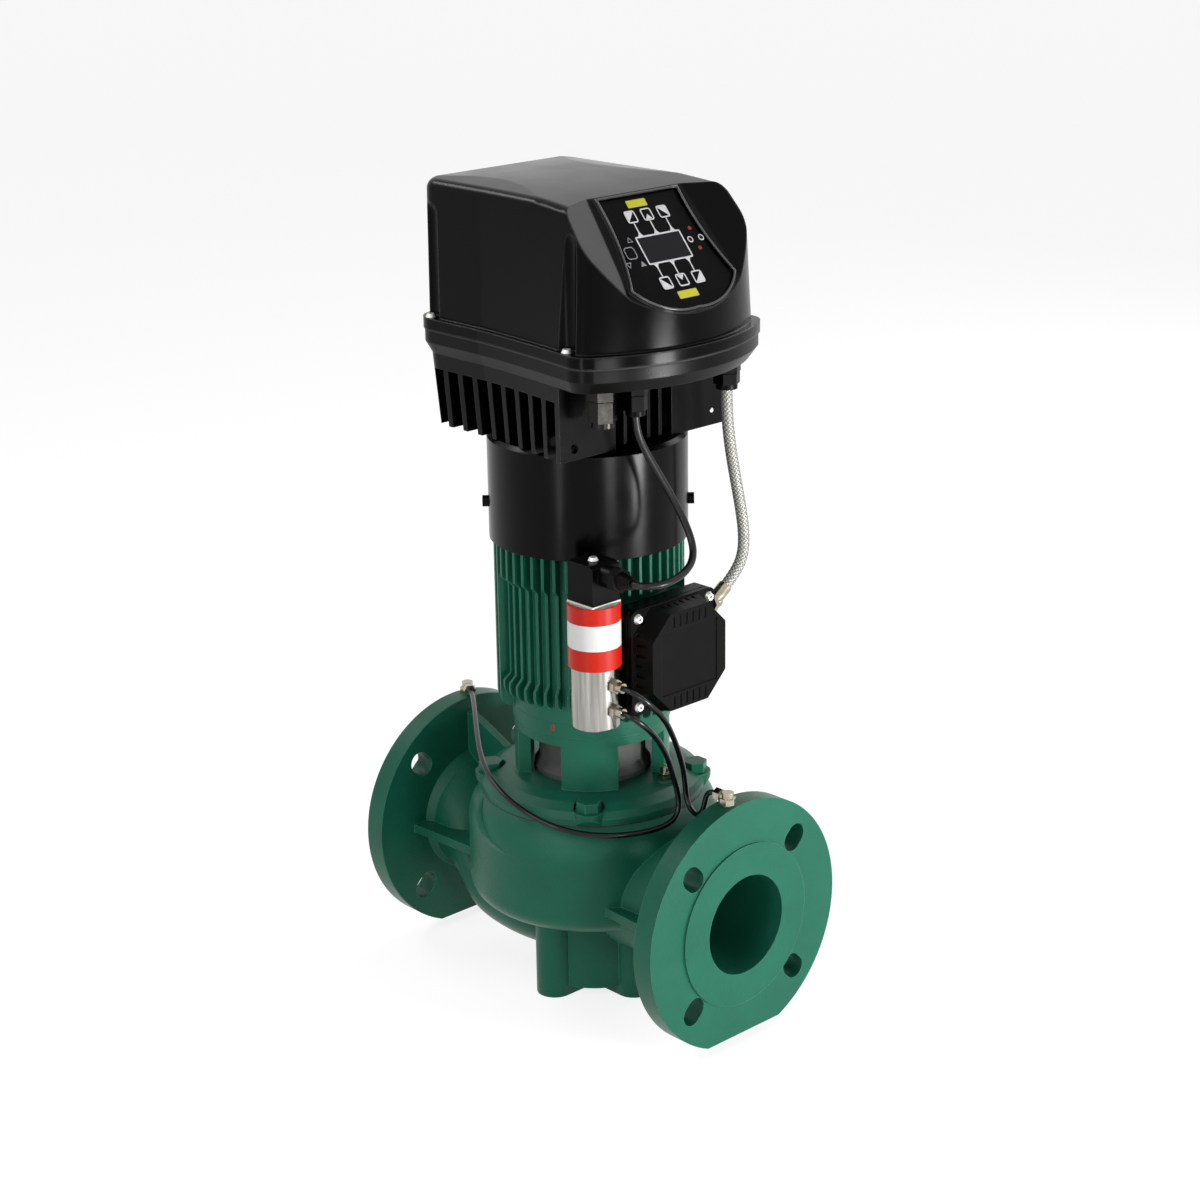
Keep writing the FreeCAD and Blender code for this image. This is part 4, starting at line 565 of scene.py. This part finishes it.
def woven_conduit(name, node, route, radius, material):
    """Braided conduit: a circle carried along the spline in a plane of constant x, with the
    strands as relief. u and v count the strands of the two families that cross at 45 degrees,
    a strand is |sin(pi u)| high, and the upper family changes from one square to the next."""
    path = centre_line(name, route)
    run = np.concatenate([[0], np.cumsum(np.linalg.norm(np.diff(path, axis=0), axis=1))])
    count, girth = 540, 60
    stations = np.linspace(0, run[-1], count)
    centre = np.stack([np.interp(stations, run, path[:, i]) for i in range(3)], -1)
    ahead = np.gradient(centre, axis=0)
    ahead /= np.linalg.norm(ahead, axis=1, keepdims=True)
    side = np.array([1.0, 0.0, 0.0])
    out = np.cross(ahead, side)
    turn = np.arange(girth) / girth * 2 * np.pi
    pitch = 2 * np.pi * radius * MM / STRANDS
    u = turn[None] / (2 * np.pi) * STRANDS + stations[:, None] / pitch
    v = turn[None] / (2 * np.pi) * STRANDS - stations[:, None] / pitch
    upper = (np.floor(u) + np.floor(v)) % 2 == 0
    crest = np.where(upper, np.abs(np.sin(np.pi * u)), np.abs(np.sin(np.pi * v)))
    reach = (radius * MM - STRAND_DEPTH * MM * (1 - crest))[..., None]
    points = centre[:, None] + reach * (np.cos(turn)[None, :, None] * side
                                        + np.sin(turn)[None, :, None] * out[:, None])
    flat, corners = skin(points / MM, False)
    mesh = joined(name, [(flat, corners)], True)
    at = np.stack([np.broadcast_to(stations[:, None], u.shape),
                   np.broadcast_to(turn * radius * MM, u.shape)], -1)
    loops = np.empty(len(mesh.loops), int)
    mesh.loops.foreach_get("vertex_index", loops)
    mesh.uv_layers.new(name="UVMap").data.foreach_set("uv", at.reshape(-1, 2)[loops].ravel())
    mesh.attributes.new("crest", "FLOAT", "POINT").data.foreach_set("value", crest.ravel())
    piece = show(name, mesh, material, "pump_body")
    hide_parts(node)


def lay_cords(finish):
    """The two pressure tubes, the sensor's cable and the motor's feed in its conduit."""
    round_cord("discharge_pressure_tube", "discharge_capillary", DISCHARGE_ROUTE, TUBE_R,
               finish["black_tube"])
    round_cord("suction_pressure_tube", "suction_capillary", SUCTION_ROUTE, TUBE_R,
               finish["black_tube"])
    round_cord("sensor_lead", "sensor_cable", SENSOR_ROUTE, LEAD_R,
               finish["cable_sheath"])
    woven_conduit("motor_feed_conduit", "motor_conduit", CONDUIT_ROUTE, CONDUIT_R,
                  finish["woven_screen"])


def place_camera():
    """Camera at the photograph's angle: where it stands, the azimuth and elevation it stands
    at, a little roll, and its focal length in pixels of a frame 1200 wide."""
    azimuth, elevation, roll = math.radians(47.18), math.radians(18.74), math.radians(-0.88)
    stand = Vector((1.3744, -1.2629, 0.9551))
    focal_pixels, frame_pixels, sensor_mm = 2523.9, 1200, 36.0
    camera = bpy.data.objects.new("camera", bpy.data.cameras.new("camera"))
    bpy.context.scene.collection.objects.link(camera)
    ahead = Vector((-math.sin(azimuth) * math.cos(elevation),
                    math.cos(azimuth) * math.cos(elevation), -math.sin(elevation)))
    right = Vector((math.cos(azimuth), math.sin(azimuth), 0))
    up = right.cross(ahead)
    side = right * math.cos(roll) + up * math.sin(roll)
    top = up * math.cos(roll) - right * math.sin(roll)
    turn = Matrix((side, top, -ahead)).transposed()
    camera.matrix_world = Matrix.Translation(stand) @ turn.to_4x4()
    camera.data.sensor_width = sensor_mm
    camera.data.lens = focal_pixels / frame_pixels * sensor_mm
    camera.data.clip_start, camera.data.clip_end = 0.05, 50
    bpy.context.scene.camera = camera


def seen_directly(tree):
    """1 for camera, glossy and transmission rays, otherwise 0."""
    path = add(tree, "LightPath")
    either = add(tree, "Math", {0: path.outputs["Is Camera Ray"], 1: path.outputs["Is Glossy Ray"]},
                 operation="MAXIMUM")
    return add(tree, "Math", {0: either.outputs[0], 1: path.outputs["Is Transmission Ray"]},
               operation="MAXIMUM").outputs[0]


def studio():
    """Pale floor, six lamps and a white surround. Seen from the camera, three small lamps
    stand low in front, on the right, in the middle and on the left, and keep the highlights
    narrow. Wide ones stand high on the left and behind on the right, a long one high behind
    on the left, and the surround fills the rest."""
    half = FLOOR_HALF
    mesh = bpy.data.meshes.new("floor")
    mesh.from_pydata([(-half, -half, 0), (half, -half, 0), (half, half, 0), (-half, half, 0)],
                     [], [(0, 1, 2, 3)])
    floor = bpy.data.objects.new("floor", mesh)
    bpy.context.scene.collection.objects.link(floor)
    paper, tree, shader, _ = finish_of("studio_paper", Roughness=0.9, Specular_IOR_Level=0.1,
                                       Emission_Color=linear("#ffffff"))
    direct = seen_directly(tree)
    tint = add(tree, "Mix", {0: direct, 6: linear("#f0f0ee"), 7: linear("#a4a4a3")},
               data_type="RGBA")
    tree.links.new(tint.outputs[2], shader.inputs["Base Color"])
    glow = add(tree, "MapRange", {"Value": direct, "To Min": 0.0, "To Max": FLOOR_GLOW})
    tree.links.new(glow.outputs[0], shader.inputs["Emission Strength"])
    mesh.materials.append(paper)

    for name, (place, width, height, power) in LAMPS.items():
        light = bpy.data.lights.new(name, "AREA")
        light.shape, light.size, light.size_y, light.energy = "RECTANGLE", width, height, power
        lamp = bpy.data.objects.new(name, light)
        bpy.context.scene.collection.objects.link(lamp)
        lamp.visible_camera = False
        lamp.location = place
        lamp.rotation_euler = (LAMP_AIM - Vector(place)).to_track_quat("-Z", "Y").to_euler()

    world = bpy.data.worlds.new("studio")
    bpy.context.scene.world = world
    world.use_nodes = True
    tree = world.node_tree
    sky = tree.nodes["Background"]
    sky.inputs["Color"].default_value = (1, 1, 1, 1)
    level = add(tree, "MapRange", {"Value": seen_directly(tree), "To Min": SURROUND_FILL,
                                   "To Max": 1.0})
    tree.links.new(level.outputs[0], sky.inputs["Strength"])
    bpy.context.scene.view_settings.view_transform = "Standard"


def finishes():
    """Every finish by name, made once."""
    made = {}
    # The paler edge colours given to cast_enamel and black_moulding below are painted highlights.
    # Enamel on the castings: dark blue-green, semi-gloss, with paler edges as a painted highlight.
    made["enamel"] = cast_enamel("green_enamel_on_cast_iron", "#19604b", "#175b47", "#4a9a80",
                                 0.31, 1.1)
    # Bare grey iron of the seal housing: dull, grainy and neutral, with paler edges as a painted
    # highlight.
    made["iron"] = cast_enamel("machined_grey_iron", "#595b59", "#454745", "#7b7974", 0.45, 0.9)
    # Polished black ABS of the lid: near mirror, so it takes long soft highlights; its grey edges
    # are a painted highlight.
    made["lid"] = black_moulding("polished_black_abs", "#020202", "#454546", 0.17, 6.0, 0.008,
                                 2.0, 0.09)
    # The same ABS on the display's bead: shinier, and a shade greyer as a painted highlight, so it
    # reads as a line.
    made["bead"] = black_moulding("buffed_black_abs_painted_highlight", "#141415", "#141415", 0.26, 3.0, 0.002,
                                  0.05, 1.0)
    # Black film of the display: a shade duller than the lid round it.
    made["film"] = black_moulding("printed_polyester_film", "#020203", "#08080a", 0.28, 2.0,
                                  0.004, 0.3, 0.05)
    # Spark-eroded black polyamide: dull, with a grain a fraction of a millimetre wide, drawn
    # at 0.7 mm so that it shows. Its greyer edges are a painted highlight.
    made["polyamide"] = black_moulding("textured_black_polyamide", "#070706", "#1b1b1a", 0.33,
                                       0.7, 0.05, 0.8, 0.08)
    # Powder coat on the cast heat sink: satin with orange peel, and greyer edges as a painted
    # highlight.
    made["powder"] = black_moulding("black_powder_coat_on_aluminium", "#040404", "#30302d", 0.3,
                                    1.1, 0.06, 0.9, 0.12)
    # Black paint on the fan cover's sheet: smooth, so its highlights stand upright.
    made["sheet"] = black_moulding("black_paint_on_sheet_steel", "#020202", "#101010", 0.2, 4.0,
                                   0.01, 0.5, 0.11)
    # Nylon pressure tube: shiny black with a thin highlight along it.
    made["black_tube"] = black_moulding("extruded_black_nylon", "#060608", "#101012", 0.2, 1.5,
                                        0.01, 0.2, 0.35)
    # Sheath of the sensor's cable: a soft black grey.
    made["cable_sheath"] = black_moulding("extruded_grey_sheath", "#120f11", "#242022", 0.3,
                                          1.0, 0.02, 0.2, 0.35)
    # Dark places: the screws' sockets, a flat dark patch as painted shade of their recesses, and
    # the wells of the unlit lights.
    made["black_ink"] = black_moulding("black_screen_ink_and_painted_shade", "#040405", "#0a0a0b", 0.35, 0.6,
                                       0.004, 0.1, 0.2)
    # Zinc on the screws: bright but satin, so a head is one even spot.
    made["zinc"] = worked_metal("bright_zinc_on_steel", "#e6e6e2", "#d2d2ce", 0.5, (1, 1, 1))
    # Turned steel of the shaft and bearings: fine marks across the turned parts.
    made["steel"] = worked_metal("turned_steel", "#b9b8b4", "#979690", 0.3, (1, 1, 12))
    # Drawn stainless tube of the sensor: die marks run along it, and their strong dark and pale
    # streaks also stand in for upright reflected bands, a painted reflection.
    made["stainless"] = worked_metal("drawn_stainless_tube", "#c4c2bd", "#5e5c57", 0.2,
                                     (3.0, 3.0, 0.15))
    # Nickel plate on the fittings: warm and bright, the plug's blackened.
    made["nickel"] = worked_metal("nickel_plated_brass", "#bdb8a8", "#98917c", 0.22, (1, 1, 4))
    made["plug"] = worked_metal("blackened_nickel_plug", "#2b2a28", "#20201e", 0.25, (1, 1, 1))
    # Enamelled copper of the windings: deep orange brown.
    made["copper"] = worked_metal("enamelled_copper_wire", "#b5672f", "#7c4220", 0.35, (1, 1, 8))
    # Red polyamide sleeve: even, strong red with a soft shine.
    made["red"] = tinted_plastic("red_polyamide", "#c3210e", "#b61b0b", 0.32,
                                 Specular_IOR_Level=0.25)
    # Dab of lacquer on the shield, dulled, and the red light guides.
    made["red_lacquer"] = tinted_plastic("red_marking_lacquer", "#7d3420", "#5e2615", 0.4)
    made["red_light"] = tinted_plastic("red_light_guide", "#a8201a", "#7c1410", 0.25)
    # Label film and gaskets: matt, white or black.
    made["label"] = tinted_plastic("white_label_film", "#dcdcdb", "#d0d0cf", 0.42)
    made["white_rubber"] = tinted_plastic("white_silicone_gasket", "#f4f2ee", "#e6e3dc", 0.5)
    made["gasket"] = tinted_plastic("black_gasket_rubber", "#26261f", "#1a1a16", 0.6)
    # Screen inks: flat colour with a slight tooth.
    made["white_ink"] = tinted_plastic("white_screen_ink", "#e6e6e8", "#cfcfd2", 0.45, 0.6)
    made["grey_ink"] = tinted_plastic("grey_screen_ink", "#97979a", "#7f7f83", 0.45, 0.6)
    made["yellow_ink"] = tinted_plastic("yellow_screen_ink", "#cfcc2a", "#bbb720", 0.45, 0.6)
    # Window over the liquid crystal: smooth dark grey-blue.
    made["window"] = tinted_plastic("display_window_over_liquid_crystal", "#17181d", "#121318",
                                    0.2, 3.0, Specular_IOR_Level=0.12)
    # Inside: green solder mask, the fan's grey moulding, lapped black carbon.
    made["board"] = tinted_plastic("solder_masked_board", "#12512c", "#0d3d21", 0.35)
    made["fan"] = tinted_plastic("moulded_grey_fan", "#3a3a39", "#2f2f2e", 0.4)
    made["carbon"] = tinted_plastic("lapped_carbon_face", "#2a2a2b", "#1d1d1e", 0.25, 0.5)
    # Tinned braid of the conduit.
    made["woven_screen"] = woven_screen("tinned_wire_braid")
    return made


WEARS = {
    "enamel": ("volute_casing", "lantern_bracket", "drive_end_shield", "motor_frame",
               "upper_end_shield", "casing_bolts"),
    "iron": ("seal_housing", "impeller"),
    "lid": ("inverter_lid",),
    "film": ("control_panel",) + tuple("membrane_key_%d" % i for i in range(1, 8)),
    "polyamide": ("terminal_box_base", "terminal_box_lid", "din_connector", "connector_gland",
                  "sensor_cable_gland", "conduit_gland", "terminal_block"),
    "powder": ("heat_sink",),
    "sheet": ("fan_cover", "fan_cover_screws"),
    "zinc": ("cover_screws", "shield_screws"),
    "steel": ("pump_shaft", "impeller_nut", "lower_bearing", "upper_bearing", "preload_spring",
              "stator_core", "rotor_core", "sensor_bracket"),
    "stainless": ("sensor_body",),
    "nickel": ("tube_fittings", "vent_valve_body", "vent_screw", "conduit_connector"),
    "plug": ("blanking_gland",),
    "copper": ("stator_windings",),
    "red": ("sensor_sleeve",),
    "red_light": ("indicator_lights",),
    "label": ("sensor_label",),
    "white_rubber": ("connector_gasket",),
    "gasket": ("casing_gasket", "lid_gasket", "terminal_box_gasket"),
    "window": ("display_window",),
    "board": ("control_board",),
    "fan": ("cooling_fan",),
    "carbon": ("seal_ring", "seal_seat"),
    "black_tube": ("discharge_capillary", "suction_capillary"),
    "cable_sheath": ("sensor_cable",),
    "woven_screen": ("motor_conduit",),
}


def dress(finish):
    """Gives each CAD node its finish."""
    for wear, names in WEARS.items():
        for name in names:
            slots = nodes[name].data.materials
            slots.clear()
            slots.append(finish[wear])


place_camera()
finish = finishes()
lay_cords(finish)
dress(finish)
display_prints(finish)
key_prints(finish)
display_border(finish)
screw_sockets(finish)
sink_screw(finish)
volute_lip(finish)
paint_dot(finish)
studio()
